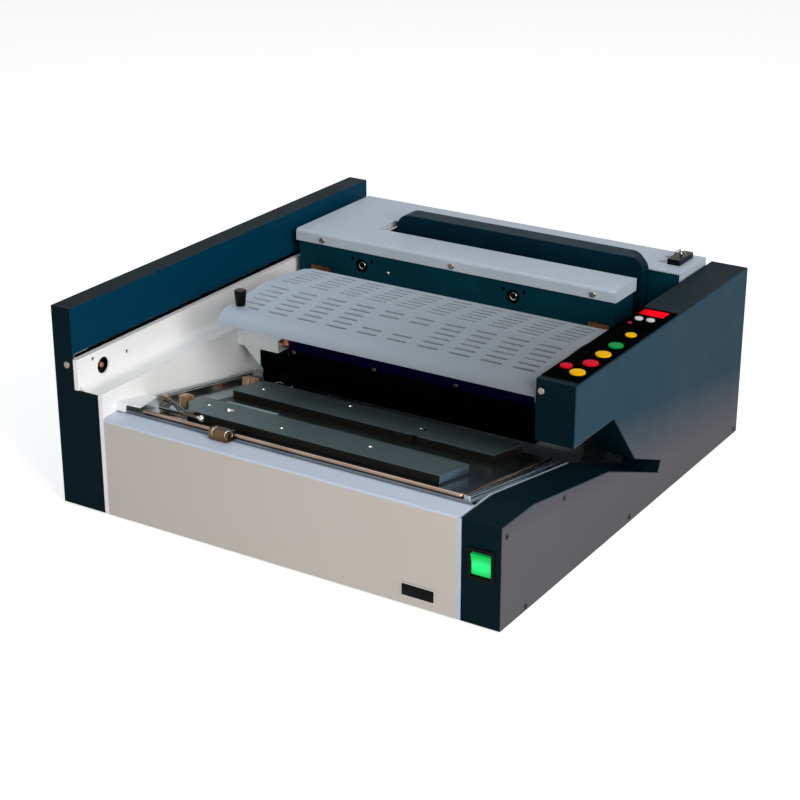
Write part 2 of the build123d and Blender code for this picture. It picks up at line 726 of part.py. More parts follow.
def nip_rear_plate():
    v0, v1 = REAR_PLATE
    outline = [
        (NIP_LEFT + PLATE_CORNER, v0),
        (PLATE_RIGHT, v0),
        (PLATE_RIGHT, v1),
        (NIP_LEFT, v1),
        (NIP_LEFT, v0 + PLATE_CORNER),
    ]
    plate = prism_z(0, PLATE_THICK, outline)
    for shares in REAR_SCREWS:
        plate = seat(plate, on_rear_plate(*shares), PLATE_SCREW)
    half = NOTCH_WIDTH / 2
    notch_x = NIP_LEFT + NOTCH_SHARE * NIP_LENGTH
    plate -= block(notch_x - half, notch_x + half, v0 - SWING, v0 + half, -SWING, PLATE_THICK + SWING)
    return on_table(plate)


def cam_axis_z():
    """Height of the cam shaft: its base circle lies just below the resting table."""
    pivot_y, pivot_z = pivot_in_machine()
    tilt = math.radians(TILT)
    under = NIP_PIVOT_DROP - NIP_THICK
    return pivot_z + under / math.cos(tilt) - math.tan(tilt) * (CAM_Y - pivot_y) - CAM_BASE - CAM_GAP


def cam_outline():
    """A spiral that grows by the table's lever arm for each radian of table lift."""
    pivot_y, _ = pivot_in_machine()
    rise = (CAM_Y - pivot_y) / CAM_GEARING
    points = []
    for step in range(-6, 25):
        turn = math.radians(10 * step)
        radius = CAM_BASE + rise * max(turn, 0)
        angle = math.pi / 2 + turn
        points.append((CAM_Y + radius * math.cos(angle), cam_axis_z() + radius * math.sin(angle)))
    return points


def lift_cams():
    left = NIP_LEFT - SWING - POST_WIDTH
    right = NIP_RIGHT + SWING + POST_WIDTH + MOTOR_GRIP
    shaft = rod_x(left, right, CAM_Y, cam_axis_z(), CAM_SHAFT)
    for x in CAM_PLACES:
        shaft += prism_x(x, x + CAM_WIDTH, cam_outline())
    return shaft


def lift_drive():
    """Two posts a side, for the table's hinge pins and for the cam shaft, and the lift motor."""
    pivot_y, pivot_z = pivot_in_machine()
    solids = []
    places = ((pivot_y, pivot_z, NIP_PIN), (CAM_Y, cam_axis_z(), CAM_SHAFT))
    for x in (NIP_LEFT - SWING - POST_WIDTH, NIP_RIGHT + SWING):
        for y, z, radius in places:
            half = POST_DEPTH / 2
            post = block(x, x + POST_WIDTH, y - half, y + half, BASE_TOP, z)
            post += rod_x(x, x + POST_WIDTH, y, z, radius + NIP_PIN)
            post -= rod_x(x - SWING, x + POST_WIDTH + SWING, y, z, radius + RUN)
            solids.append(post)
    motor_left = NIP_RIGHT + SWING + POST_WIDTH
    motor_right = motor_left + LIFT_MOTOR_LENGTH
    motor = rod_x(motor_left, motor_right, CAM_Y, cam_axis_z(), LIFT_MOTOR_RADIUS)
    motor -= rod_x(motor_left - SWING, motor_left + MOTOR_GRIP + SWING, CAM_Y, cam_axis_z(),
                   CAM_SHAFT + RUN)
    solids.append(motor)
    return solids


def tray_rails():
    """Chrome rim bars along the front and right of the tray, and two rails along its left."""
    front_end = RIM_FRONT + RIM_WIDTH
    inner = RIM_RIGHT - RIM_WIDTH
    outer = RIM_RIGHT + RIM_WIDTH
    solids = [
        block(RIM_LEFT, RIM_RIGHT, RIM_FRONT, front_end, 0, RIM_HEIGHT),
        block(inner, RIM_RIGHT, front_end, RAIL_END, 0, RIM_HEIGHT),
        block(outer, outer + RIM_WIDTH, RIM_FRONT, RAIL_END, 0, RIM_HEIGHT),
    ]
    for x, width, height in zip(RAIL_PLACES, RAIL_WIDTHS, RAIL_HEIGHTS):
        solids.append(block(x, x + width, RAIL_START, LEFT_RAIL_END, 0, height))
    return [on_table(solid) for solid in solids]


def tray_fittings():
    """Two brass blocks beside the nip, the lever's pin and an angle bracket."""
    x, v = LEVER_PIVOT
    right = NIP_LEFT - SWING - SHEET
    width, depth, height = FRONT_BLOCK
    front_block = block(right - width, right, FRONT_BLOCK_V, FRONT_BLOCK_V + depth, 0, height)
    front_block -= block(right - width / 2, right + SWING, FRONT_BLOCK_V + depth / 3,
                         FRONT_BLOCK_V + 2 * depth / 3, height / 2, height + SWING)
    width, depth, height = REAR_BLOCK
    rear_block = block(right - width, right, RAIL_END - depth, RAIL_END, 0, height)
    pin = rod_z(0, LEVER_LOW + 2 * SHEET, x, v, LEVER_PIN)
    width, depth, height = BRACKET
    v0 = RAIL_END + SWING
    bracket = block(right - width, right, v0, v0 + depth, 0, SHEET)
    bracket += block(right - width, right, v0 + depth - SHEET, v0 + depth, 0, height)
    return [on_table(shape) for shape in (front_block, rear_block, pin, bracket)]


def register_lever():
    """A windowed arm on the pin, with an upright plate and a ball at its end."""
    x, v = LEVER_PIVOT
    low = LEVER_LOW
    high = LEVER_LOW + LEVER_THICK
    over = high + SWING
    tip_x = x + LEVER_TIP[0]
    tip_v = v + LEVER_TIP[1]
    side_x = x + LEVER_SIDE[0]
    side_v = v + LEVER_SIDE[1]
    outline = [(x - 5, v - 2), (x + 3, v + 3), (tip_x, tip_v), (tip_x - 5, tip_v - 6), (side_x, side_v)]
    lever = prism_z(low, high, outline)
    near = [(x + 6, v - 11), (x + 15, v - 12), (side_x, side_v + 8)]
    far = [(x + 20, v - 15), (tip_x - 12, tip_v), (side_x + 5, side_v + 7)]
    for window in (near, far):
        lever -= prism_z(low - SWING, over, window)
    lever += rod_z(low - SHEET / 3, high, x, v, LEVER_BOSS)
    lever -= rod_z(low - SHEET, over, x, v, LEVER_PIN + RUN)
    plate_x = tip_x - LEVER_PLATE[1]
    plate_v = tip_v - LEVER_PLATE[1]
    ledge = low + LEVER_BALL
    lever += block(plate_x, plate_x + LEVER_PLATE[0], plate_v, plate_v + LEVER_THICK, low, ledge)
    lever += block(plate_x, plate_x + LEVER_PLATE[0], plate_v, tip_v, ledge, ledge + LEVER_THICK)
    ball_x = tip_x + LEVER_REACH
    stem_v = plate_v - LEVER_THICK / 2
    lever += rod_x(plate_x, ball_x, stem_v, high, LEVER_THICK)
    lever += Pos(ball_x, stem_v, high) * Sphere(LEVER_BALL)
    return on_table(lever)


def stop_block():
    """A block that rides on the front rim and stops the cover sheet's edge."""
    right = STOP_LEFT + STOP_WIDTH
    front = TRAY_FRONT - STOP_AHEAD
    rear = RIM_FRONT + RIM_WIDTH + SWING / 2
    body = block(STOP_LEFT, right, front, rear, STOP_LOW, STOP_HEIGHT)
    lip = TRAY_FRONT - EASY
    body -= block(STOP_LEFT - SWING, right + SWING, lip, rear + SWING, STOP_LOW - SWING, EASY)
    body -= block(STOP_LEFT - SWING, right + SWING, RIM_FRONT - EASY, rear + SWING, 0, RIM_HEIGHT + EASY)
    return on_table(body)


# Carriage


def carriage_outline(inset):
    """The carriage cover seen from above, as (x, y) points, drawn in by inset."""
    return [
        (COVER_LEFT + inset, COVER_FRONT + inset),
        (BAR_RIGHT - inset, COVER_FRONT + inset),
        (BAR_RIGHT - inset, OPENING_FRONT - inset),
        (OPENING_LEFT - inset, OPENING_FRONT - inset),
        (OPENING_LEFT - inset, OPENING_REAR + inset),
        (COVER_RIGHT - inset, OPENING_REAR + inset),
        (COVER_RIGHT - inset, COVER_REAR - inset),
        (COVER_LEFT + inset, COVER_REAR - inset),
    ]


def carriage_cover():
    cover = prism_z(COVER_LIP, COVER_TOP, carriage_outline(0))
    top = cover.edges().group_by(Axis.Z)[-1]
    cover = fillet(top.filter_by(Axis.X).sort_by(Axis.Y)[0], COVER_CORNER)
    cover -= prism_z(COVER_LIP - SWING, COVER_TOP - COVER_CORNER, carriage_outline(SHEET))
    cover -= prism_z(COVER_TOP - COVER_CORNER - SWING, BEAM_TOP,
                     inside_bend(carriage_outline(SHEET)))
    cover -= block(OPENING_LEFT - SHEET, COVER_RIGHT - SHEET, OPENING_REAR, OPENING_REAR + 2 * SHEET,
                   COVER_LIP - SWING, BEAM_TOP)
    for x in COVER_SCREWS:
        cover -= rod_y(COVER_FRONT - SWING, COVER_FRONT + 2 * SHEET, x, COVER_TOP - COVER_SCREW_DROP,
                       SCREW_SHANK)
    return cover


def inside_bend(outline):
    """Keep the cover's inside clear of the rounded front bend."""
    shift = COVER_CORNER / 2
    return [(x, y + shift if abs(y - COVER_FRONT - SHEET) < SHEET / 2 else y) for x, y in outline]


def front_beam():
    """The front clamp beam with the side channel that joins it to the rear web."""
    beam = block(BEAM_LEFT, BEAM_RIGHT, BEAM_FRONT, BEAM_REAR, BEAM_LOW, BEAM_TOP)
    step = block(BEAM_LEFT - SWING, BEAM_RIGHT + SWING, BEAM_FRONT - SWING,
                 COVER_FRONT + COVER_CORNER + SHEET, BEAM_TOP - COVER_CORNER, BEAM_TOP + SWING)
    beam -= step
    beam -= block(BEAM_LEFT + BEAM_WALL, BEAM_RIGHT - BEAM_WALL, BEAM_FRONT + BEAM_WALL,
                  BEAM_REAR - BEAM_WALL, BEAM_LOW - SWING, BEAM_TOP - COVER_CORNER - BEAM_WALL)
    low = LEFT_ROD_Z + ARM_THICK / 2
    end = block(BEAM_LEFT, END_RIGHT, BEAM_REAR, WEB_REAR, low, BEAM_TOP)
    end -= block(BEAM_LEFT + BEAM_WALL, END_RIGHT - BEAM_WALL, BEAM_REAR + BEAM_WALL,
                 WEB_REAR - BEAM_WALL, low - SWING, BEAM_TOP - BEAM_WALL)
    beam += end
    for x in SOCKETS:
        beam -= rod_y(BEAM_FRONT - SWING, BEAM_FRONT + BEAM_WALL + SWING, x, SOCKET_Z, SOCKET_RADIUS)
        aside, above = SOCKET_SCREW
        for side in (-aside, aside):
            beam -= rod_y(BEAM_FRONT - SWING, BEAM_FRONT + BEAM_WALL + SWING, x + side, SOCKET_Z + above,
                          SHAFT_RADIUS)
    for x in COVER_SCREWS:
        beam -= rod_y(BEAM_FRONT - SWING, COVER_FRONT + COVER_SCREW_DEPTH + SWING, x,
                      COVER_TOP - COVER_SCREW_DROP, SCREW_SHANK)
    return beam


def rear_beam():
    """The rear web, with bosses that guide the jaw's rods."""
    x0 = END_RIGHT
    beam = block(x0, WEB_RIGHT, WEB_FRONT, WEB_FRONT + WEB_THICK, BEAM_LOW, BEAM_TOP)
    beam += block(x0, WEB_RIGHT, WEB_FRONT, WEB_REAR, BEAM_TOP - ARM_THICK, BEAM_TOP)
    beam += block(x0, WEB_RIGHT, WEB_FRONT, WEB_REAR, BEAM_LOW, BEAM_LOW + ARM_THICK)
    for x in JAW_RODS:
        beam += rod_y(WEB_FRONT, WEB_FRONT + BOSS_LENGTH, x, JAW_AXIS_Z, BOSS_RADIUS)
    for x in JAW_RODS:
        beam -= rod_y(WEB_FRONT - SWING, WEB_FRONT + BOSS_LENGTH + SWING, x, JAW_AXIS_Z,
                      JAW_ROD_RADIUS + RUN)
    beam -= rod_y(WEB_FRONT - SWING, WEB_FRONT + WEB_THICK + SWING, NUT_X, JAW_AXIS_Z, NUT_RADIUS + EASY)
    return beam


def slide_blocks():
    """The left block with its arm through the fin's slot, and the right block with its arm."""
    y0, y1 = LEFT_SLIDE
    half_x = SLIDE_HALF - ARM_THICK
    left = block(LEFT_ROD_X - half_x, LEFT_ROD_X + half_x, y0, y1,
                 LEFT_ROD_Z - SLIDE_HALF, LEFT_ROD_Z + SLIDE_HALF)
    left += block(LEFT_ROD_X + half_x, END_RIGHT, y0 + 8, y1 - 8,
                  LEFT_ROD_Z - ARM_THICK / 2, LEFT_ROD_Z + ARM_THICK / 2)
    belt_top = PULLEY_Z + PULLEY_RADIUS + RUN + BELT_THICK
    left += block(BELT_X, LEFT_ROD_X + half_x, y0 + 18, y1 - 18, belt_top + EASY, LEFT_ROD_Z)
    left -= rod_y(y0 - SWING, y1 + SWING, LEFT_ROD_X, LEFT_ROD_Z, ROD_RADIUS + RUN)
    y0, y1 = RIGHT_SLIDE
    half_x = SLIDE_HALF + ARM_THICK
    right = block(RIGHT_ROD_X - half_x, RIGHT_ROD_X + half_x, y0, y1,
                  RIGHT_ROD_Z - SLIDE_HALF, RIGHT_ROD_Z + SLIDE_HALF)
    right += block(WEB_RIGHT, RIGHT_ROD_X - half_x, y0, y1,
                   RIGHT_ROD_Z - SLIDE_HALF + 2 * SWING, RIGHT_ROD_Z + SLIDE_HALF - 2 * SWING)
    right -= rod_y(y0 - SWING, y1 + SWING, RIGHT_ROD_X, RIGHT_ROD_Z, ROD_RADIUS + RUN)
    return [left, right]


def carriage_fittings():
    """Sockets, brass bars and screws on the beam, the stop rod, and the cable block on the cover."""
    solids = []
    outer, inner = SOCKET_TUBE
    floor_y = BEAM_FRONT + SOCKET_DEPTH
    for x in SOCKETS:
        socket = rod_y(BEAM_FRONT, floor_y, x, SOCKET_Z, SOCKET_RADIUS)
        bore = floor_y - SOCKET_WALL
        socket -= rod_y(BEAM_FRONT - SWING, bore, x, SOCKET_Z, SOCKET_RADIUS - SOCKET_WALL)
        socket += rod_y(BEAM_FRONT + SWING, floor_y, x, SOCKET_Z, outer)
        solids.append(socket - rod_y(BEAM_FRONT, bore, x, SOCKET_Z, inner))
    for x0, x1 in BRASS_BARS:
        solids.append(block(x0, x1, COVER_FRONT, BEAM_FRONT, BRASS_Z, BRASS_Z + BRASS_HEIGHT))
    solids.append(rod_y(OPENING_FRONT, OPENING_REAR, STOP_ROD_X, STOP_ROD_Z, STOP_ROD_RADIUS))
    right = COVER_RIGHT - CLIP_IN
    rear = COVER_REAR - CLIP_BACK
    width, depth, height = CLIP_SIZE
    solids.append(block(right - width, right, rear - depth, rear, COVER_TOP, COVER_TOP + height))
    for x in COVER_SCREWS:
        solids.append(cap_screw_y(x, COVER_TOP - COVER_SCREW_DROP, COVER_FRONT, COVER_SCREW_DEPTH))
    return solids


def round_topped(right, y0, y1):
    """A slab from the jaw's left end, with its two top corners rounded."""
    slab = block(JAW_LEFT, right, y0, y1, JAW_LOW, JAW_TOP)
    corners = slab.edges().filter_by(Axis.Y).group_by(Axis.Z)[-1]
    return fillet(corners, JAW_CORNER)


def clamp_jaw():
    """The moving jaw with its guide rods and nut tube, and the ledge on its back above the cover."""
    y0 = JAW_FRONT
    y1 = JAW_FRONT + JAW_THICK
    jaw = round_topped(JAW_RIGHT, y0, y1)
    rim = jaw.edges().group_by(Axis.Y)[0]
    jaw = fillet(rim, COVER_ROUND)
    for x in JAW_RODS:
        jaw += rod_y(y1 - SWING, y1 + JAW_ROD_LENGTH, x, JAW_AXIS_Z, JAW_ROD_RADIUS)
    jaw += rod_y(y1 - SWING, y1 + NUT_LENGTH, NUT_X, JAW_AXIS_Z, NUT_RADIUS)
    jaw -= rod_y(y1 + SWING, y1 + NUT_LENGTH + SWING, NUT_X, JAW_AXIS_Z, SCREW_RADIUS + SLIDE)
    ledge = round_topped(JAW_RIGHT - JAW_LEDGE_INSET, y1, y1 + JAW_LEDGE)
    ledge -= block(JAW_LEFT - SWING, JAW_RIGHT, y1, y1 + JAW_LEDGE, JAW_LOW, JAW_LEDGE_LOW)
    return [jaw, ledge]


def screw_start():
    return JAW_FRONT + JAW_THICK + SCREW_START


def motor_front():
    return screw_start() + SCREW_LENGTH - MOTOR_GRIP


def jaw_screw():
    screw = rod_y(screw_start(), screw_start() + SCREW_LENGTH, NUT_X, JAW_AXIS_Z, SCREW_RADIUS)
    end = screw.edges().filter_by(GeomType.CIRCLE).sort_by(Axis.Y)[0]
    return chamfer(end, SWING)


def jaw_motor():
    half = JAW_MOTOR_HALF
    y0 = motor_front()
    motor = block(NUT_X - half, NUT_X + half, y0, y0 + JAW_MOTOR_LENGTH,
                  BEAM_LOW + ARM_THICK, JAW_AXIS_Z + half)
    return motor - rod_y(y0 - SWING, y0 + MOTOR_GRIP + SWING, NUT_X, JAW_AXIS_Z, SCREW_RADIUS + RUN)


# Glue guard on the carriage


def guard_top(y):
    """Height of the guard's upper face, which falls both ways from its ridge."""
    return RIDGE_Z - GUARD_FALL * abs(y - RIDGE_Y)


def hinge_z():
    return guard_top(GUARD_REAR) - SHEET - HINGE_DROP


def glue_guard():
    z_rear = guard_top(GUARD_REAR)
    z_bend = guard_top(GUARD_BEND)
    lip = (GUARD_BEND - GUARD_RADIUS, z_bend - GUARD_RADIUS)
    half = math.sqrt(0.5)
    inner_radius = GUARD_RADIUS - SHEET
    x = GUARD_LEFT

    def at(y, z):
        return Vector(x, y, z)

    def on_bend(radius):
        return at(GUARD_BEND - radius * half, z_bend - GUARD_RADIUS + radius * half)

    edges = [
        Line(at(GUARD_REAR, z_rear), at(RIDGE_Y, RIDGE_Z)),
        Line(at(RIDGE_Y, RIDGE_Z), at(GUARD_BEND, z_bend)),
        ThreePointArc(at(GUARD_BEND, z_bend), on_bend(GUARD_RADIUS), at(*lip)),
        Line(at(*lip), at(lip[0] + SHEET, lip[1])),
        ThreePointArc(at(lip[0] + SHEET, lip[1]), on_bend(inner_radius), at(GUARD_BEND, z_bend - SHEET)),
        Line(at(GUARD_BEND, z_bend - SHEET), at(RIDGE_Y, RIDGE_Z - SHEET)),
        Line(at(RIDGE_Y, RIDGE_Z - SHEET), at(GUARD_REAR, z_rear - SHEET)),
        Line(at(GUARD_REAR, z_rear - SHEET), at(GUARD_REAR, z_rear)),
    ]
    sheet = extrude(make_face(edges), amount=GUARD_RIGHT - GUARD_LEFT, dir=(1, 0, 0))
    sheet -= prism_z(RIDGE_Z - 5 * GUARD_RADIUS, RIDGE_Z + SWING, [
        (GUARD_LEFT - SWING, GUARD_REAR - GUARD_CORNER),
        (GUARD_LEFT + GUARD_CORNER, GUARD_REAR + SWING),
        (GUARD_LEFT - SWING, GUARD_REAR + SWING),
    ])
    slots = Sketch()
    for row in range(SLOT_ROWS):
        for column in range(SLOT_COLUMNS):
            x0 = SLOT_START + column * SLOT_PITCH_X
            middle = x0 + SLOT_LENGTH / 2
            away = (row + 1) * SLOT_PITCH_Y
            slot = SlotOverall(SLOT_LENGTH, SLOT_WIDTH)
            slots += Pos(middle, RIDGE_Y + away) * slot
            if row in BARE_ROWS and column in BARE_COLUMNS:
                continue
            if row == KNOB_ROW and column == 0:
                cut = KNOB_X + KNOB_HIGH - x0
                slot = SlotOverall(SLOT_LENGTH - cut, SLOT_WIDTH)
                middle += cut / 2
            slots += Pos(middle, RIDGE_Y - away) * slot
    depth = 2 * GUARD_RADIUS
    sheet -= extrude(Pos(0, 0, RIDGE_Z - depth) * slots, amount=depth + SWING)
    knob_y = RIDGE_Y - (KNOB_ROW + 1) * SLOT_PITCH_Y
    sheet -= rod_z(RIDGE_Z - depth, RIDGE_Z + SWING, KNOB_X, knob_y, KNOB_STUD)
    for x_arm, side in zip(GUARD_ARMS, (1, -1)):
        x0 = x_arm + ARM_PLATE + EASY if side > 0 else x_arm - EASY - KNUCKLE
        eye = rod_x(x0, x0 + KNUCKLE, HINGE_Y, hinge_z(), HINGE_EYE)
        eye += prism_x(x0, x0 + KNUCKLE, [
            (HINGE_Y, hinge_z()),
            (HINGE_Y, hinge_z() + HINGE_EYE),
            (GUARD_REAR, z_rear - SHEET / 2),
            (GUARD_REAR - 4, z_rear - SHEET / 2),
            (HINGE_Y - HINGE_EYE, hinge_z()),
        ])
        eye -= rod_x(x0 - SWING, x0 + KNUCKLE + SWING, HINGE_Y, hinge_z(), HINGE_PIN + RUN)
        sheet += eye
    return sheet


def guard_knob():
    y = RIDGE_Y - (KNOB_ROW + 1) * SLOT_PITCH_Y
    low = guard_top(y) + KNOB_LOW * GUARD_FALL
    cone = Pos(KNOB_X, y, low + KNOB_HEIGHT / 2) * Cone(KNOB_LOW, KNOB_HIGH, KNOB_HEIGHT)
    top = cone.edges().filter_by(GeomType.CIRCLE).sort_by(Axis.Z)[-1]
    cone = fillet(top, SHEET)
    return cone + rod_z(low - 3 * SHEET, low, KNOB_X, y, KNOB_STUD)


def guard_arms():
    """Two arms from the beam, each with a hinge pin and a rest that the guard lies on."""
    z = hinge_z()
    rest_top = guard_top(RIDGE_Y + REST_DEPTH) - SHEET - EASY
    outline = [
        (BEAM_FRONT, ARM_LOW),
        (BEAM_FRONT, ARM_TOP),
        (HINGE_Y + HINGE_EYE, z),
        (HINGE_Y - HINGE_EYE, z),
        (HINGE_Y - 4 * HINGE_EYE, ARM_TOP),
        (REST_Y + REST_DEPTH, ARM_TOP),
        (REST_Y + REST_DEPTH, rest_top),
        (REST_Y, rest_top),
        (REST_Y, ARM_TOP - REST_DEPTH),
        (HINGE_Y - 4 * HINGE_EYE, ARM_LOW),
    ]
    arms = []
    for x_arm, side in zip(GUARD_ARMS, (1, -1)):
        arm = prism_x(x_arm, x_arm + ARM_PLATE, outline)
        arm += rod_x(x_arm, x_arm + ARM_PLATE, HINGE_Y, z, HINGE_EYE)
        reach = KNUCKLE + 2 * EASY
        x0 = x_arm + ARM_PLATE if side > 0 else x_arm - reach
        arms.append(arm + rod_x(x0, x0 + reach, HINGE_Y, z, HINGE_PIN))
    return arms


# Guide rods and belt drive


def guide_rods():
    left = rod_y(FRONT + SHEET, BACK - SHEET, LEFT_ROD_X, LEFT_ROD_Z, ROD_RADIUS)
    right = rod_y(UPPER_FRONT + SHEET, BACK - SHEET, RIGHT_ROD_X, RIGHT_ROD_Z, ROD_RADIUS)
    return [left, right]


def rod_posts():
    """Four posts that hold the rods' ends, and the stud of the front pulley."""
    solids = []
    for y in (FRONT + SHEET, BACK - SHEET - ROD_END):
        post = block(LEFT + SHEET, FIN_IN - SHEET, y, y + ROD_END, PULLEY_Z - 2 * PULLEY_RADIUS,
                     LEFT_ROD_Z + SLIDE_HALF)
        solids.append(post - rod_y(y - SWING, y + ROD_END + SWING, LEFT_ROD_X, LEFT_ROD_Z, ROD_RADIUS))
    for y in (UPPER_FRONT + SHEET, BACK - SHEET - ROD_END):
        post = block(RIGHT_BOX + FRAME_PLATE, RIGHT_ROD_X + SLIDE_HALF, y, y + ROD_END,
                     RIGHT_ROD_Z - SLIDE_HALF, RIGHT_ROD_Z + SLIDE_HALF)
        solids.append(post - rod_y(y - SWING, y + ROD_END + SWING, RIGHT_ROD_X, RIGHT_ROD_Z, ROD_RADIUS))
    head = BELT_X + BELT_WIDTH + EASY
    stud = rod_x(LEFT + SHEET, head, PULLEY_FRONT, PULLEY_Z, SHAFT_RADIUS)
    stud += rod_x(head, head + SHEET, PULLEY_FRONT, PULLEY_Z, SHAFT_RADIUS + SWING)
    solids.append(stud)
    return solids


def front_pulley():
    wheel = rod_x(BELT_X, BELT_X + BELT_WIDTH, PULLEY_FRONT, PULLEY_Z, PULLEY_RADIUS)
    return wheel - rod_x(LEFT, LEFT_WALL, PULLEY_FRONT, PULLEY_Z, SHAFT_RADIUS + RUN)


def rear_pulley():
    wheel = rod_x(BELT_X, BELT_X + BELT_WIDTH, PULLEY_REAR, PULLEY_Z, PULLEY_RADIUS)
    return wheel + rod_x(BELT_X, RAIL_FACE + MOTOR_GRIP, PULLEY_REAR, PULLEY_Z, SHAFT_RADIUS)


def drive_belt():
    def loop(radius, x0, x1):
        shape = rod_x(x0, x1, PULLEY_FRONT, PULLEY_Z, radius)
        shape += rod_x(x0, x1, PULLEY_REAR, PULLEY_Z, radius)
        return shape + block(x0, x1, PULLEY_FRONT, PULLEY_REAR, PULLEY_Z - radius, PULLEY_Z + radius)

    inner = PULLEY_RADIUS + RUN
    belt = loop(inner + BELT_THICK, BELT_X, BELT_X + BELT_WIDTH)
    return belt - loop(inner, BELT_X - SWING, BELT_X + BELT_WIDTH + SWING)


def carriage_motor():
    x1 = RAIL_FACE + CARRIAGE_MOTOR_LENGTH
    motor = rod_x(RAIL_FACE, x1, PULLEY_REAR, PULLEY_Z, CARRIAGE_MOTOR_RADIUS)
    return motor - rod_x(RAIL_FACE - SWING, RAIL_FACE + MOTOR_GRIP + SWING, PULLEY_REAR, PULLEY_Z,
                         SHAFT_RADIUS + RUN)


# Cutting and gluing stations


def station_plates():
    """Two upright plates that carry the cutter, the glue rollers and the tank."""
    knee = NOTCH_TIP[0] + SWING
    outline = [
        (knee, BASE_TOP),
        (STATION_REAR, BASE_TOP),
        (STATION_REAR, STATION_TOP),
        (STATION_FRONT, STATION_TOP),
        (STATION_FRONT, STATION_LOW),
        (knee - 2 * CUTTER_RADIUS, STATION_LOW),
        (knee, STATION_LOW - CUTTER_RADIUS),
    ]
    plates = []
    for x in (STATION_LEFT - STATION_PLATE, STATION_RIGHT):
        plate = prism_x(x, x + STATION_PLATE, outline)
        for y in (ROLLER_FRONT, ROLLER_REAR, CUTTER_Y):
            plate -= rod_x(x - SWING, x + STATION_PLATE + SWING, y, STATION_AXIS_Z, AXLE_RADIUS + RUN)
        plates.append(plate)
    return plates


def glue_tank():
    """The open glue tank with a raised front edge, on a heater plate between the station plates."""
    y0 = ROLLER_FRONT - TANK_AHEAD
    y1 = ROLLER_REAR + TANK_BEHIND
    low = HEATER_LOW + HEATER_THICK
    tank = block(TANK_LEFT, STATION_RIGHT, y0, y1, low, TANK_TOP)
    tank -= block(TANK_LEFT + TANK_WALL, STATION_RIGHT - TANK_WALL, y0 + TANK_WALL, y1 - TANK_WALL,
                  low + TANK_WALL, TANK_TOP + SWING)
    for y in (ROLLER_FRONT, ROLLER_REAR):
        tank -= rod_x(TANK_LEFT - SWING, STATION_RIGHT + SWING, y, STATION_AXIS_Z, AXLE_RADIUS + EASY)
    tank += block(TANK_LEFT, STATION_RIGHT - TANK_WALL, y0, y0 + SHEET, TANK_TOP, TANK_EDGE_TOP)
    heater = block(STATION_LEFT, STATION_RIGHT, y0, y1, HEATER_LOW, low)
    return [tank, heater]


def spur_gear(x0, x1, y, z, turn):
    """Straight-flanked teeth, a little narrower than their gaps."""
    pitch = GEAR_MODULE * GEAR_TEETH / 2
    root = pitch - 1.2 * GEAR_MODULE
    tip = pitch + 0.8 * GEAR_MODULE
    step = 2 * math.pi / GEAR_TEETH
    points = []
    for tooth in range(GEAR_TEETH):
        middle = tooth * step + turn
        for radius, share in ((root, -0.27), (tip, -0.12), (tip, 0.12), (root, 0.27)):
            angle = middle + share * step
            points.append((y + radius * math.cos(angle), z + radius * math.sin(angle)))
    return prism_x(x0, x1, points)


def glue_roller(y, turn, motor_side):
    """A roller with its axle and gear."""
    x0 = STATION_LEFT - STATION_PLATE - motor_side
    roller = rod_x(TANK_LEFT + TANK_WALL + SWING, STATION_RIGHT - TANK_WALL - SWING, y, STATION_AXIS_Z,
                   ROLLER_RADIUS)
    roller += rod_x(x0, STATION_RIGHT + STATION_PLATE, y, STATION_AXIS_Z, AXLE_RADIUS)
    gear_x = STATION_LEFT + GEAR_GAP
    return roller + spur_gear(gear_x, gear_x + GEAR_WIDTH, y, STATION_AXIS_Z, turn)


def glue_roller_front():
    return glue_roller(ROLLER_FRONT, 0, 0)


def glue_roller_rear():
    return glue_roller(ROLLER_REAR, math.pi / GEAR_TEETH, MOTOR_GRIP)


def notch_cutter():
    """A core with ring blades that roughen the spine."""
    x0 = TANK_LEFT + TANK_WALL
    x1 = STATION_RIGHT - 3 * TANK_WALL
    z = STATION_AXIS_Z
    cutter = rod_x(x0, x1, CUTTER_Y, z, CUTTER_CORE)
    axle_end = STATION_RIGHT + STATION_PLATE + MOTOR_GRIP
    cutter += rod_x(STATION_LEFT - STATION_PLATE, axle_end, CUTTER_Y, z, AXLE_RADIUS)
    pitch = (x1 - x0 - BLADE_WIDTH) / (CUTTER_BLADES - 1)
    for blade in range(CUTTER_BLADES):
        x = x0 + blade * pitch
        cutter += rod_x(x, x + BLADE_WIDTH, CUTTER_Y, z, CUTTER_RADIUS)
    return cutter


def drive_motors():
    """The roller motor left of the stations and the cutter motor right of them."""
    z = STATION_AXIS_Z
    x1 = STATION_LEFT - STATION_PLATE
    roller = rod_x(x1 - ROLLER_MOTOR_LENGTH, x1, ROLLER_REAR, z, ROLLER_MOTOR_RADIUS)
    roller -= rod_x(x1 - MOTOR_GRIP - SWING, x1 + SWING, ROLLER_REAR, z, AXLE_RADIUS + RUN)
    x0 = STATION_RIGHT + STATION_PLATE
    cutter = rod_x(x0, x0 + CUTTER_MOTOR_LENGTH, CUTTER_Y, z, CUTTER_MOTOR_RADIUS)
    cutter -= rod_x(x0 - SWING, x0 + MOTOR_GRIP + SWING, CUTTER_Y, z, AXLE_RADIUS + RUN)
    return [roller, cutter]


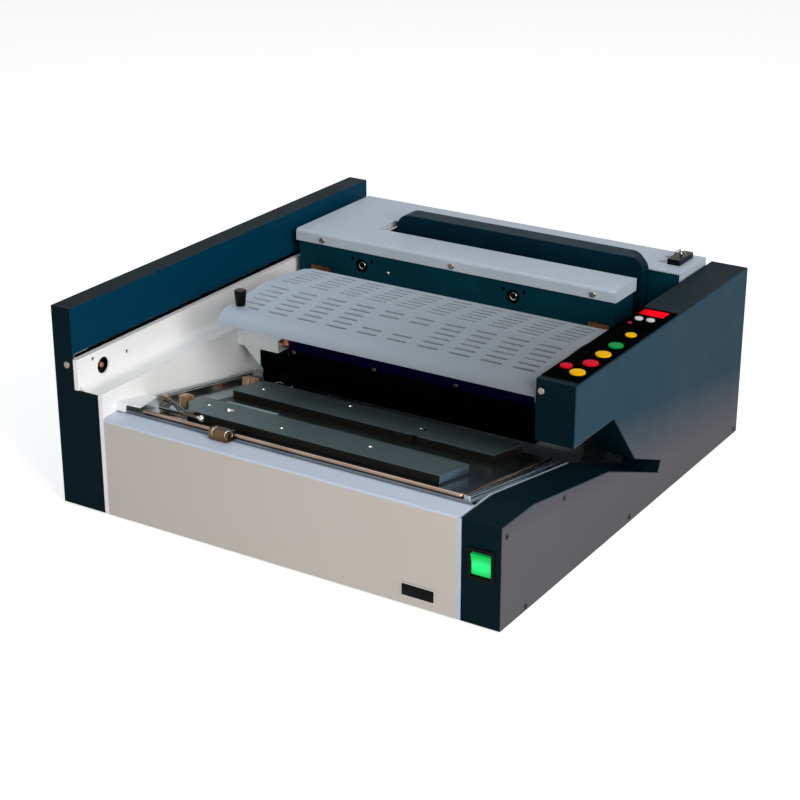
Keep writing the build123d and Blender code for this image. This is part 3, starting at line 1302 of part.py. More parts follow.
def channel_bracket():
    """A channel on the left inner wall, with a gusset below its front face."""
    x0 = LEFT_WALL + SHEET
    y0 = CHANNEL_FRONT
    y1 = CHANNEL_FRONT + CHANNEL_DEPTH
    channel = block(x0, CHANNEL_RIGHT, y0, y1, CHANNEL_LOW, CHANNEL_TOP)
    channel -= block(x0 - SWING, CHANNEL_RIGHT + SWING, y0 + SHEET, y1 + SWING, CHANNEL_LOW + SHEET,
                     CHANNEL_TOP - SHEET)
    low = CHANNEL_LOW + SHEET / 2
    gusset = prism_y(y0 + SHEET, y0 + 2 * SHEET, [(x0 + 5, low), (x0 + 26, low), (x0 + 26, low - 20)])
    return channel + gusset


# Switch, control panel and electrics


def switch_bezel():
    half_x = BEZEL_WIDTH / 2
    half_z = BEZEL_HEIGHT / 2
    bezel = block(SWITCH_X - half_x, SWITCH_X + half_x, FRONT - BEZEL_PROUD, FRONT,
                  SWITCH_Z - half_z, SWITCH_Z + half_z)
    outer = bezel.edges().group_by(Axis.Y)[0]
    bezel = fillet(outer, SWING)
    bezel += block(SWITCH_X - half_x + SHEET, SWITCH_X + half_x - SHEET, FRONT, FRONT + SWITCH_DEPTH,
                   SWITCH_Z - half_z + SHEET, SWITCH_Z + half_z - SHEET)
    room_x = ROCKER_WIDTH / 2 + EASY
    room_z = ROCKER_SWING + EASY
    bezel -= block(SWITCH_X - room_x, SWITCH_X + room_x, FRONT - BEZEL_PROUD - SWING,
                   FRONT + SWITCH_DEPTH - 4 * SHEET, SWITCH_Z - room_z, SWITCH_Z + room_z)
    reach = ROCKER_WIDTH / 2 + ROCKER_PIN_REACH + SLIDE
    return bezel - rod_x(SWITCH_X - reach, SWITCH_X + reach, *rocker_pivot(), ROCKER_PIN + RUN)


def rocker_pivot():
    return FRONT + ROCKER_SET, SWITCH_Z


def power_rocker():
    """A rocker with a shallow V front and side trunnions, resting with its lower half pressed."""
    y, z = rocker_pivot()
    rise = ROCKER_HALF * math.tan(math.radians(ROCKER_ANGLE))
    outline = [(-4.5, 0), (-4.5 - rise, ROCKER_HALF), (3, 9.5), (5, 3), (5, -3), (3, -9.5),
               (-4.5 - rise, -ROCKER_HALF)]
    half = ROCKER_WIDTH / 2
    rocker = prism_x(SWITCH_X - half, SWITCH_X + half, outline)
    reach = half + ROCKER_PIN_REACH
    rocker += rod_x(SWITCH_X - reach, SWITCH_X + reach, 0, 0, ROCKER_PIN)
    rocker = Rot(ROCKER_ANGLE, 0, 0) * rocker
    return Pos(0, y, z) * rocker


def control_membrane():
    membrane = block(RIGHT_BOX + 0.5, RIGHT - TRIM, MEMBRANE_FRONT, MEMBRANE_REAR, UPPER_TOP,
                     UPPER_TOP + MEMBRANE_THICK)
    return key_holes(membrane)


def panel_lenses():
    """The display window and the row of lamps."""
    top = UPPER_TOP + MEMBRANE_THICK
    y1 = MEMBRANE_REAR - WINDOW_BACK
    y0 = y1 - WINDOW_DEPTH
    solids = [block(RIGHT_BOX + TRIM, RIGHT - 2 * TRIM, y0, y1, top, top + MEMBRANE_THICK)]
    for setback in LAMPS:
        solids.append(rod_z(top, top + MEMBRANE_THICK, LAMP_X, UPPER_FRONT + setback, LAMP_RADIUS))
    return solids


def switch_top():
    """Height of the board's small switches, which every key's stem ends just above."""
    return UPPER_TOP - SHEET - 3 * KEY_FLANGE - KEY_TRAVEL - 2 * EASY - SLIDE


def key(name):
    """A cap with a flange under the cover, a stem and room to travel."""
    x, y, radius = key_place(name)
    under = UPPER_TOP - SHEET - EASY
    cap = rod_z(under - KEY_FLANGE, UPPER_TOP + MEMBRANE_THICK + KEY_PROUD, x, y, radius)
    top = cap.edges().filter_by(GeomType.CIRCLE).sort_by(Axis.Z)[-1]
    cap = fillet(top, KEY_PROUD / 2)
    cap += rod_z(under - KEY_FLANGE, under, x, y, radius + KEY_FLANGE)
    return cap + rod_z(switch_top() + KEY_TRAVEL + SLIDE, under - KEY_FLANGE, x, y, SHAFT_RADIUS)


def control_board():
    """A board that hangs from the cover on spacers, with a small switch under each key."""
    board = block(RIGHT_BOX + FRAME_PLATE + SWING, RIGHT - 2 * SHEET, MEMBRANE_FRONT, MEMBRANE_REAR,
                  BOARD_Z, BOARD_Z + BOARD_THICK)
    for y in (MEMBRANE_FRONT + 4, MEMBRANE_REAR - 4):
        for x in (RIGHT_BOX + 7, RIGHT - 7):
            board += rod_z(BOARD_Z, UPPER_TOP - SHEET, x, y, SHAFT_RADIUS)
    for name in KEYS:
        x, y, _ = key_place(name)
        board += rod_z(BOARD_Z, switch_top(), x, y, SHAFT_RADIUS)
    return board


def power_supply():
    x0, x1, y0, y1, height = SUPPLY
    body = block(x0, x1, y0, y1, BASE_TOP, BASE_TOP + height)
    for groove in range(1, 6):
        y = y0 + groove * (y1 - y0) / 6
        body -= block(x0 + 12, x1 - 12, y - TRIM, y + TRIM, BASE_TOP + height - TRIM,
                      BASE_TOP + height + SWING)
    return body


def power_inlet():
    """A flanged mains inlet with a recess and three pins."""
    width, height = INLET_FLANGE
    inlet = block(INLET_X - width / 2, INLET_X + width / 2, BACK, BACK + INLET_PROUD,
                  INLET_Z - height / 2, INLET_Z + height / 2)
    width, height = INLET_BODY
    inlet += block(INLET_X - width / 2, INLET_X + width / 2, BACK - INLET_DEPTH, BACK,
                   INLET_Z - height / 2, INLET_Z + height / 2)
    width, height = INLET_RECESS
    inlet -= block(INLET_X - width / 2, INLET_X + width / 2, BACK - INLET_DEPTH / 2, BACK + 2 * INLET_PROUD,
                   INLET_Z - height / 2, INLET_Z + height / 2)
    for x, z in ((-7, -2), (0, 2), (7, -2)):
        inlet += block(INLET_X + x - 1, INLET_X + x + 1, BACK - INLET_DEPTH / 2, BACK,
                       INLET_Z + z - 2, INLET_Z + z + 2)
    return inlet


def case_screws():
    """Domed screws on the front faces and flat black ones on the right side."""
    screws = [
        cap_screw_y(RIGHT_BOX + BOX_SCREW_IN, UPPER_TOP - BOX_SCREW_DROP, UPPER_FRONT, 2 * TRIM),
        cap_screw_y(FIN_IN - FIN_SCREW_IN, FIN_TOP - FIN_SCREW_DROP, FRONT, TRIM / 2),
    ]
    for setback, z in SIDE_SCREWS:
        screws.append(rod_x(RIGHT - SHEET, RIGHT, FRONT + setback, z, SCREW_SHANK))
    return screws


PIECES = [
    base_plate, rubber_feet, left_side_cover, right_side_cover, right_frame_plate, front_panel,
    rear_panel, left_rail_plate, left_inner_wall, right_inner_wall, cover_tray, tray_rails,
    tray_fittings, nip_table, nip_front_plate, nip_rear_plate, lift_cams, lift_drive, register_lever,
    stop_block, guide_rods, rod_posts, front_pulley, rear_pulley, drive_belt, carriage_motor,
    carriage_cover, front_beam, rear_beam, slide_blocks, carriage_fittings, clamp_jaw, jaw_screw,
    jaw_motor, glue_guard, guard_knob, guard_arms, station_plates, glue_tank,
    glue_roller_front, glue_roller_rear, notch_cutter, drive_motors, channel_bracket, switch_bezel,
    power_rocker, control_membrane, panel_lenses, control_board, power_supply, power_inlet, case_screws,
]


def write_step(name, shape):
    """Write one node's solids to its own file."""
    shapes = shape if isinstance(shape, list) else [shape]
    solids = [solid for each in shapes for solid in each.solids()]
    export_step(Compound(solids), f"parts/{name}.step")


os.makedirs("parts", exist_ok=True)
for piece in PIECES:
    write_step(piece.__name__, piece())
for key_name in KEYS:
    write_step(key_name, key(key_name))
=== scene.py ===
import math

import bpy
import numpy as np
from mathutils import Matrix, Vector


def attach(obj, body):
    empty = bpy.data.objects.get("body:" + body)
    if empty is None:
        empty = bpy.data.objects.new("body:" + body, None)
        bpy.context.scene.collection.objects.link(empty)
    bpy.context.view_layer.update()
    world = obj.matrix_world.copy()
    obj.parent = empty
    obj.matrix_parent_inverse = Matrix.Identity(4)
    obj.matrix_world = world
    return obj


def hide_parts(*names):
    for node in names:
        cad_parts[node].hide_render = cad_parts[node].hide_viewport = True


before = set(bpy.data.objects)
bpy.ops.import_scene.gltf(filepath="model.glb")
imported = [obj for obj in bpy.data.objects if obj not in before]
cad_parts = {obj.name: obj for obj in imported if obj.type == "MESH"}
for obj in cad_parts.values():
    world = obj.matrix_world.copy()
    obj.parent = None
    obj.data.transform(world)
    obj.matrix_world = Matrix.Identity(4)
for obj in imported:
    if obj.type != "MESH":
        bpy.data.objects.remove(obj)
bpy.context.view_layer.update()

MM = 0.001

# Places and sizes that repeat the machine's own, in millimetres
FRONT = -260.0
TABLE_Y, TABLE_Z = -219.0, 103.7
TILT = math.radians(10.2)
BEAM_FRONT = 105.0
NIP_PLATE_TOP = 9.0
ROCKER_Z = 60.0
WINDOW_X, WINDOW_HALF, WINDOW_FRONT = 228.0, 13.2, 60.0
LAMP_FRONT = 36.0


# Materials


def colour(code):
    """An sRGB hex code as linear red, green and blue with full alpha."""
    values = np.array([int(code[place:place + 2], 16) for place in (1, 3, 5)]) / 255
    linear = np.where(values <= 0.04045, values / 12.92, ((values + 0.055) / 1.055) ** 2.4)
    return (*linear.tolist(), 1.0)


def add(tree, kind, settings=None, links=None):
    """A shader node with its properties or socket values set and its inputs linked."""
    node = tree.nodes.new(kind)
    for key, value in (settings or {}).items():
        if isinstance(key, str) and hasattr(node, key):
            setattr(node, key, value)
        else:
            node.inputs[key].default_value = value
    for socket, source in (links or {}).items():
        tree.links.new(source, node.inputs[socket])
    return node


def start(name, **sockets):
    """A material with one Principled shader, its fixed sockets, and Object coordinates in metres."""
    material = bpy.data.materials.new(name)
    material.use_nodes = True
    tree = material.node_tree
    tree.nodes.clear()
    shader = add(tree, "ShaderNodeBsdfPrincipled")
    for key, value in sockets.items():
        shader.inputs[key.replace("_", " ")].default_value = value
    add(tree, "ShaderNodeOutputMaterial", links={"Surface": shader.outputs["BSDF"]})
    place = add(tree, "ShaderNodeTexCoord").outputs["Object"]
    return material, tree, shader, place


def powder_coat(name, first, second, roughness, spread, peel_mm, **sockets):
    """Powder coated steel sheet: a slight orange peel, and patches where it is a little duller."""
    material, tree, shader, place = start(name, **sockets)
    patches = add(tree, "ShaderNodeTexNoise", {"Scale": 1 / (60 * MM)}, {"Vector": place}).outputs["Fac"]
    peel = add(tree, "ShaderNodeTexNoise", {"Scale": 1 / (peel_mm * MM), "Detail": 3.0}, {"Vector": place})
    share = add(tree, "ShaderNodeMapRange", {"From Min": 0.3, "From Max": 0.7}, {"Value": patches})
    tint = add(tree, "ShaderNodeMix", {"data_type": "RGBA", 6: colour(first), 7: colour(second)},
               {0: share.outputs["Result"]})
    sheen = add(tree, "ShaderNodeMapRange", {"From Min": 0.3, "From Max": 0.7, "To Min": roughness - spread,
                                             "To Max": roughness + spread}, {"Value": patches})
    relief = add(tree, "ShaderNodeBump", {"Strength": 0.35, "Distance": 0.02 * MM},
                 {"Height": peel.outputs["Fac"]})
    tree.links.new(tint.outputs[2], shader.inputs["Base Color"])
    tree.links.new(sheen.outputs["Result"], shader.inputs["Roughness"])
    tree.links.new(relief.outputs["Normal"], shader.inputs["Normal"])
    return material


def worked_metal(name, first, second, roughness, spread, line_mm, along, **sockets):
    """Metal with the fine lines of its rolling, turning or polishing along one axis."""
    material, tree, shader, place = start(name, Metallic=1.0, **sockets)
    stretch = [0.02 if axis == along else 1.0 for axis in "XYZ"]
    drawn = add(tree, "ShaderNodeMapping", {"Scale": stretch}, {"Vector": place})
    lines = add(tree, "ShaderNodeTexNoise", {"Scale": 1 / (line_mm * MM), "Detail": 3.0},
                {"Vector": drawn.outputs["Vector"]}).outputs["Fac"]
    clouds = add(tree, "ShaderNodeTexNoise", {"Scale": 1 / (35 * MM)}, {"Vector": place})
    share = add(tree, "ShaderNodeMapRange", {"From Min": 0.3, "From Max": 0.7},
                {"Value": clouds.outputs["Fac"]})
    tint = add(tree, "ShaderNodeMix", {"data_type": "RGBA", 6: colour(first), 7: colour(second)},
               {0: share.outputs["Result"]})
    sheen = add(tree, "ShaderNodeMapRange", {"From Min": 0.3, "From Max": 0.7, "To Min": roughness - spread,
                                             "To Max": roughness + spread}, {"Value": lines})
    relief = add(tree, "ShaderNodeBump", {"Strength": 0.3, "Distance": 0.01 * MM}, {"Height": lines})
    tree.links.new(tint.outputs[2], shader.inputs["Base Color"])
    tree.links.new(sheen.outputs["Result"], shader.inputs["Roughness"])
    tree.links.new(relief.outputs["Normal"], shader.inputs["Normal"])
    return material


def moulded(name, first, second, roughness, texture_mm, depth_mm=0.01, **sockets):
    """Moulded plastic or rubber with the fine texture of its tool."""
    material, tree, shader, place = start(name, **sockets)
    fine = add(tree, "ShaderNodeTexNoise", {"Scale": 1 / (texture_mm * MM)}, {"Vector": place}).outputs["Fac"]
    clouds = add(tree, "ShaderNodeTexNoise", {"Scale": 1 / (20 * MM)}, {"Vector": place})
    share = add(tree, "ShaderNodeMapRange", {"From Min": 0.3, "From Max": 0.7},
                {"Value": clouds.outputs["Fac"]})
    tint = add(tree, "ShaderNodeMix", {"data_type": "RGBA", 6: colour(first), 7: colour(second)},
               {0: share.outputs["Result"]})
    sheen = add(tree, "ShaderNodeMapRange", {"From Min": 0.3, "From Max": 0.7, "To Min": roughness - 0.05,
                                             "To Max": roughness + 0.05}, {"Value": fine})
    relief = add(tree, "ShaderNodeBump", {"Strength": 0.4, "Distance": depth_mm * MM}, {"Height": fine})
    tree.links.new(tint.outputs[2], shader.inputs["Base Color"])
    tree.links.new(sheen.outputs["Result"], shader.inputs["Roughness"])
    tree.links.new(relief.outputs["Normal"], shader.inputs["Normal"])
    return material


def sorted_by_place(name, along, stops, roughness, spread, grain_mm, change="CONSTANT", **sockets):
    """Several finishes on one mesh, told apart by where they sit along a direction.

    Each stop is the place in millimetres where a finish starts, its colour and how metallic it is;
    with a change of LINEAR they run into each other.
    """
    material, tree, shader, place = start(name, **sockets)
    where = add(tree, "ShaderNodeVectorMath", {"operation": "DOT_PRODUCT", 1: along}, {0: place})
    low, high = stops[0][0] - 1, stops[-1][0] + 1
    share = add(tree, "ShaderNodeMapRange", {"From Min": low * MM, "From Max": high * MM},
                {"Value": where.outputs["Value"]})
    bands = add(tree, "ShaderNodeValToRGB", links={"Fac": share.outputs["Result"]})
    bands.color_ramp.interpolation = change
    while len(bands.color_ramp.elements) < len(stops):
        bands.color_ramp.elements.new(0.5)
    for band, (start_mm, tone, metallic) in zip(bands.color_ramp.elements, stops):
        band.position = (start_mm - low) / (high - low)
        band.color = (*colour(tone)[:3], metallic)
    fine = add(tree, "ShaderNodeTexNoise", {"Scale": 1 / (grain_mm * MM)}, {"Vector": place}).outputs["Fac"]
    sheen = add(tree, "ShaderNodeMapRange", {"From Min": 0.3, "From Max": 0.7, "To Min": roughness - spread,
                                             "To Max": roughness + spread}, {"Value": fine})
    relief = add(tree, "ShaderNodeBump", {"Strength": 0.25, "Distance": 0.01 * MM}, {"Height": fine})
    tree.links.new(bands.outputs["Color"], shader.inputs["Base Color"])
    tree.links.new(bands.outputs["Alpha"], shader.inputs["Metallic"])
    tree.links.new(sheen.outputs["Result"], shader.inputs["Roughness"])
    tree.links.new(relief.outputs["Normal"], shader.inputs["Normal"])
    return material


def lit_rocker():
    """Green polycarbonate lit from inside: bright in the middle of its face and deeper at its ends."""
    material, tree, shader, place = start("Polycarbonate_green_lit", Roughness=0.3,
                                          Specular_IOR_Level=0.1, Emission_Strength=0.6)
    split = add(tree, "ShaderNodeSeparateXYZ", links={"Vector": place})
    below = add(tree, "ShaderNodeMath", {"operation": "SUBTRACT", 1: ROCKER_Z * MM}, {0: split.outputs["Z"]})
    away = add(tree, "ShaderNodeMath", {"operation": "ABSOLUTE"}, {0: below.outputs[0]})
    share = add(tree, "ShaderNodeMapRange", {"From Min": 1 * MM, "From Max": 10 * MM},
                {"Value": away.outputs[0]})
    glow = add(tree, "ShaderNodeMix", {"data_type": "RGBA", 6: colour("#28e078"), 7: colour("#00a848")},
               {0: share.outputs["Result"]})
    fine = add(tree, "ShaderNodeTexNoise", {"Scale": 1 / (1.5 * MM)}, {"Vector": place})
    relief = add(tree, "ShaderNodeBump", {"Strength": 0.2, "Distance": 0.01 * MM},
                 {"Height": fine.outputs["Fac"]})
    tree.links.new(glow.outputs[2], shader.inputs["Base Color"])
    tree.links.new(glow.outputs[2], shader.inputs["Emission Color"])
    tree.links.new(relief.outputs["Normal"], shader.inputs["Normal"])
    return material


def lit_lenses():
    """Red acrylic: the display window glows, more to the right, one lamp glimmers, the rest are dark."""
    material, tree, shader, place = start("Acrylic_red_lenses", Roughness=0.3,
                                          Specular_IOR_Level=0.0, Emission_Strength=0.55)
    split = add(tree, "ShaderNodeSeparateXYZ", links={"Vector": place})
    across = add(tree, "ShaderNodeMapRange", {"From Min": 214 * MM, "From Max": 230 * MM},
                 {"Value": split.outputs["X"]})
    window = add(tree, "ShaderNodeMix", {"data_type": "RGBA", 6: colour("#b00612"), 7: colour("#f40a1c")},
                 {0: across.outputs["Result"]})
    centre = add(tree, "ShaderNodeMath", {"operation": "SUBTRACT", 1: WINDOW_X * MM}, {0: split.outputs["X"]})
    aside = add(tree, "ShaderNodeMath", {"operation": "ABSOLUTE"}, {0: centre.outputs[0]})
    glass = add(tree, "ShaderNodeMath", {"operation": "LESS_THAN", 1: WINDOW_HALF * MM},
                {0: aside.outputs[0]})
    window = add(tree, "ShaderNodeMix", {"data_type": "RGBA", 6: colour("#050202")},
                 {0: glass.outputs[0], 7: window.outputs[2]})
    is_window = add(tree, "ShaderNodeMath", {"operation": "GREATER_THAN", 1: WINDOW_FRONT * MM},
                    {0: split.outputs["Y"]})
    is_lit = add(tree, "ShaderNodeMath", {"operation": "GREATER_THAN", 1: LAMP_FRONT * MM},
                 {0: split.outputs["Y"]})
    lamp = add(tree, "ShaderNodeMix", {"data_type": "RGBA", 6: colour("#0c0607"), 7: colour("#8c2030")},
               {0: is_lit.outputs[0]})
    both = add(tree, "ShaderNodeMix", {"data_type": "RGBA"},
               {0: is_window.outputs[0], 6: lamp.outputs[2], 7: window.outputs[2]})
    fine = add(tree, "ShaderNodeTexNoise", {"Scale": 1 / (2.0 * MM)}, {"Vector": place})
    relief = add(tree, "ShaderNodeBump", {"Strength": 0.15, "Distance": 0.005 * MM},
                 {"Height": fine.outputs["Fac"]})
    tree.links.new(both.outputs[2], shader.inputs["Base Color"])
    tree.links.new(both.outputs[2], shader.inputs["Emission Color"])
    tree.links.new(relief.outputs["Normal"], shader.inputs["Normal"])
    return material


def petrol_cover(name, face_mm, above_mm, upper, lower, blend_mm):
    """Petrol powder coat, nearly black but for one sheet of painted light, whose colour runs from upper to
    lower.

    The sheet lies beyond face_mm in X and above above_mm in Z; its colour turns between the two
    values of blend_mm, measured upwards and, by 0.15, backwards.
    """
    material, tree, shader, place = start(name, Specular_IOR_Level=0.02)
    split = add(tree, "ShaderNodeSeparateXYZ", links={"Vector": place})
    beyond = add(tree, "ShaderNodeMath", {"operation": "GREATER_THAN", 1: face_mm * MM},
                 {0: split.outputs["X"]})
    above = add(tree, "ShaderNodeMath", {"operation": "GREATER_THAN", 1: above_mm * MM},
                {0: split.outputs["Z"]})
    sheet = add(tree, "ShaderNodeMath", {"operation": "MULTIPLY"},
                {0: beyond.outputs[0], 1: above.outputs[0]})
    rise = add(tree, "ShaderNodeVectorMath", {"operation": "DOT_PRODUCT", 1: (0, 0.15, 1)}, {0: place})
    fade = add(tree, "ShaderNodeMapRange", {"From Min": blend_mm[0] * MM, "From Max": blend_mm[1] * MM},
               {"Value": rise.outputs["Value"]})
    # The sheet's colour is painted light and reflection on the coat, not a colour of its own.
    face = add(tree, "ShaderNodeMix", {"data_type": "RGBA", 6: colour(lower), 7: colour(upper)},
               {0: fade.outputs["Result"]})
    patches = add(tree, "ShaderNodeTexNoise", {"Scale": 1 / (60 * MM)}, {"Vector": place}).outputs["Fac"]
    peel = add(tree, "ShaderNodeTexNoise", {"Scale": 1 / (1.2 * MM), "Detail": 3.0}, {"Vector": place})
    dark, less_dark = colour("#05171d"), colour("#071e26")
    rest = add(tree, "ShaderNodeMix", {"data_type": "RGBA", 6: dark, 7: less_dark}, {0: patches})
    tint = add(tree, "ShaderNodeMix", {"data_type": "RGBA"},
               {0: sheet.outputs[0], 6: rest.outputs[2], 7: face.outputs[2]})
    sheen = add(tree, "ShaderNodeMapRange", {"From Min": 0.3, "From Max": 0.7, "To Min": 0.42, "To Max": 0.5},
                {"Value": patches})
    relief = add(tree, "ShaderNodeBump", {"Strength": 0.35, "Distance": 0.02 * MM},
                 {"Height": peel.outputs["Fac"]})
    tree.links.new(tint.outputs[2], shader.inputs["Base Color"])
    tree.links.new(sheen.outputs["Result"], shader.inputs["Roughness"])
    tree.links.new(relief.outputs["Normal"], shader.inputs["Normal"])
    return material


# Powder coat on steel, dark petrol: nearly black, bluer on the fin's inner sheet as painted light, and on the
# right flank petrol above and grey at the foot as a painted reflection of the pale floor.
PETROL = petrol_cover("Powder_coat_petrol", -227.0, 160.0, "#01374f", "#01374f", (0, 1))
PETROL_FLANK = petrol_cover("Powder_coat_petrol_flank", 249.0, -1.0, "#213d4d", "#57575c", (52, 118))
# The same coat on the clamp, a shade greener and duller from handling.
PETROL_CLAMP = powder_coat("Powder_coat_petrol_clamp", "#02303d", "#053847", 0.45, 0.05, 1.2,
                           Specular_IOR_Level=0.04)
JAW_PETROL = powder_coat("Powder_coat_petrol_jaw", "#021f2b", "#042635", 0.45, 0.05, 1.2,
                         Specular_IOR_Level=0.04)
# Powder coat on steel, light blue-grey: an even satin sheen.
WHITE = powder_coat("Powder_coat_grey_white", "#b6c4d3", "#becad8", 0.45, 0.04, 1.4, Specular_IOR_Level=0.2)
# The guard's blue-grey, darker towards its right end so that this end reads as lying in shade.
GUARD_WHITE = sorted_by_place("Powder_coat_guard", (1, 0, 0),
                              [(-160, "#b0bfcf", 0), (210, "#747c82", 0)], 0.45, 0.04, 1.4, "LINEAR",
                              Specular_IOR_Level=0.2)
# A lighter white on the inner walls, painted light from the side, so that they stand out from the blue-grey
# parts.
WALL_WHITE = powder_coat("Powder_coat_wall", "#f0f3f6", "#f4f6f7", 0.42, 0.04, 1.4, Specular_IOR_Level=0.3)
# The front panel's white, painted greyer as shade on its front, and painted cool on the sloping flange along
# its top as light from above.
PANEL_WHITE = sorted_by_place("Powder_coat_panel", (0, 0.5, 1),
                              [(-131, "#c4c0bb", 0), (-29.5, "#c6d2e4", 0)], 0.45, 0.04, 1.4,
                              Specular_IOR_Level=0.2)
# Blackened and oiled steel of the nip plates: dark sides, a painted highlight along the top edge, a slate
# top.
TABLE_FACE = TABLE_Y * math.sin(TILT) + TABLE_Z * math.cos(TILT)
ALONG_NORMAL = (0, math.sin(TILT), math.cos(TILT))
SLATE = sorted_by_place("Oiled_steel_slate", ALONG_NORMAL,
                        [(-100, "#12120e", 0.2), (TABLE_FACE + 8.1, "#5d7072", 0.6),
                         (TABLE_FACE + 8.75, "#2f4c4d", 0.0)], 0.36, 0.08, 0.9, Specular_IOR_Level=0.25)
SLATE_TABLE = powder_coat("Oiled_steel_table", "#131c1c", "#1c2a2a", 0.3, 0.08, 0.9, Metallic=0.3)
# Ground end of the front plate: blue grey.
GROUND_END = worked_metal("Ground_steel_end", "#6e879c", "#8299ad", 0.4, 0.06, 0.8, "Y")
# Zinc plated sheet: pale grey, cloudy, with rolling lines.
ZINC = worked_metal("Zinc_plated_sheet", "#8f9396", "#a3a7a9", 0.38, 0.08, 1.5, "X")
# Stainless sheet of the tray, polished so that it mirrors the parts on it, dull with oil.
TRAY = worked_metal("Stainless_tray", "#93a3a8", "#a9b7bb", 0.2, 0.05, 1.2, "X")
# Chrome of the rim tinted brown as a painted reflection, blue-grey zinc of the rails, and the blocks' bright
# pins as painted highlight lines.
RIM_CHROME = worked_metal("Chrome_brown_reflection", "#8d786a", "#a08b7b", 0.12, 0.04, 1.0, "X")
RAIL_ZINC = worked_metal("Zinc_rails", "#87939a", "#9ba6ab", 0.26, 0.06, 1.0, "Y")
BRIGHT_PIN = worked_metal("Chrome_pins", "#e4dfd8", "#f0ece6", 0.3, 0.05, 1.0, "Z")
# Hard chrome on the guide rods: a mirror with faint draw lines.
CHROME = worked_metal("Chrome_drawn", "#aaa8a4", "#bdbbb6", 0.16, 0.05, 1.0, "X")
CHROME_ROD = worked_metal("Chrome_ground_rod", "#c6c8ca", "#d6d8da", 0.1, 0.04, 0.8, "Y")
# Brass blocks: cast, worn to a warm copper brown.
BRASS = worked_metal("Brass_worn", "#b08560", "#c99a74", 0.3, 0.08, 1.4, "Z")
# Bronze of the sliding stop, dark with handling.
BRONZE = worked_metal("Bronze_dark", "#54422f", "#705a42", 0.3, 0.08, 1.0, "X")
# Copper of the roller's bush.
COPPER = worked_metal("Copper_turned", "#a8624a", "#c07a5c", 0.26, 0.06, 0.8, "X")
# Machined aluminium of pulleys and slides.
ALUMINIUM = worked_metal("Aluminium_machined", "#a9abad", "#b8babc", 0.32, 0.06, 0.8, "X")
# Aluminium scale strip, anodised blue grey.
SCALE = powder_coat("Anodised_scale", "#7f9499", "#8ca1a6", 0.4, 0.05, 1.0, Specular_IOR_Level=0.3)
# Turned and ground rollers, with a film of dried glue that yellows them.
ROLLER = worked_metal("Roller_ground_glue_film", "#b0a68e", "#c2b899", 0.28, 0.08, 1.0, "X")
# Case-hardened steel of the cutter, grey-blue.
CUTTER = worked_metal("Tool_steel", "#777b80", "#8a8e93", 0.26, 0.06, 0.8, "X")
# Black lacquer on motor cases.
MOTOR = powder_coat("Lacquer_black", "#141416", "#1b1b1e", 0.42, 0.05, 1.0)
# Moulded ABS, black, fine spark texture.
ABS_BLACK = moulded("ABS_black", "#070709", "#0c0c0e", 0.42, 0.9, Specular_IOR_Level=0.06)
# Phenolic knob, black, smooth and a little glossy.
KNOB_BLACK = moulded("Phenolic_black", "#040405", "#080809", 0.3, 1.2, 0.005, Specular_IOR_Level=0.08)
# Rubber of feet and belt, matt.
RUBBER = moulded("Rubber_black", "#131313", "#1b1b1b", 0.75, 0.9)
# Printed polyester foil of the control panel, black with a soft sheen.
FOIL = moulded("Polyester_foil_black", "#030404", "#060708", 0.45, 1.0, 0.004, Specular_IOR_Level=0.0)
# Glass-fibre board under green solder mask.
BOARD = moulded("Solder_mask_green", "#0d3a20", "#114a2a", 0.3, 2.0, 0.004)
# Acrylic key caps, glossy through-coloured.
KEY_YELLOW = moulded("Acrylic_yellow", "#f4b800", "#ffc400", 0.4, 3.0, 0.002, Specular_IOR_Level=0.02)
KEY_GREEN = moulded("Acrylic_green", "#008c40", "#029a48", 0.4, 3.0, 0.002, Specular_IOR_Level=0.02)
KEY_RED = moulded("Acrylic_red", "#d20022", "#e00a2c", 0.4, 3.0, 0.002, Specular_IOR_Level=0.02)
KEY_WHITE = moulded("Acrylic_white", "#c8c8cc", "#d4d4da", 0.3, 3.0, 0.002, Specular_IOR_Level=0.1)
ROCKER_GREEN = lit_rocker()
RED_LENSES = lit_lenses()
# Domed screws of nickel; those on the right side are blackened.
SCREWS = sorted_by_place("Screws_nickel_and_black", (1, 0, 0), [(-260, "#8f857a", 1), (247.5, "#030304", 0)],
                         0.3, 0.06, 0.6, Specular_IOR_Level=0.0)
# On the carriage by height: brass bars, dark sockets, a chrome rod with screws, a black clip block.
FITTINGS = sorted_by_place("Carriage_fittings", (0, 0, 1), [(140, "#8d6a43", 1), (158, "#060a0b", 0.0),
                                                            (178, "#a8a49e", 1), (194.8, "#050506", 0)],
                           0.28, 0.06, 0.8, Specular_IOR_Level=0.08)
# Enamelled tank: navy front edge, black below it and on the heater, painted pure black there as the shade
# under the guard.
TANK = sorted_by_place("Enamel_navy_and_black", (0, 0, 1), [(70, "#010101", 0), (114.8, "#06062f", 0)],
                       0.4, 0.05, 1.6, Specular_IOR_Level=0.02)
# Lever of blued steel with a chromed plate and ball at its end.
LEVER = sorted_by_place("Lever_blued_and_chromed", (1, 0, 0),
                        [(-260, "#040505", 0), (-121.2, "#554f48", 0.8), (-104, "#c4c2be", 1)],
                        0.26, 0.05, 0.8, Specular_IOR_Level=0.1)
# Brass blocks along the slope, then the zinc plated angle behind them.
SMALL_PARTS = sorted_by_place("Brass_blocks_and_angle", (0, math.cos(TILT), -math.sin(TILT)),
                              [(-400, "#b98c69", 0.45), (-73.2, "#8b9092", 1)], 0.35, 0.07, 1.2)

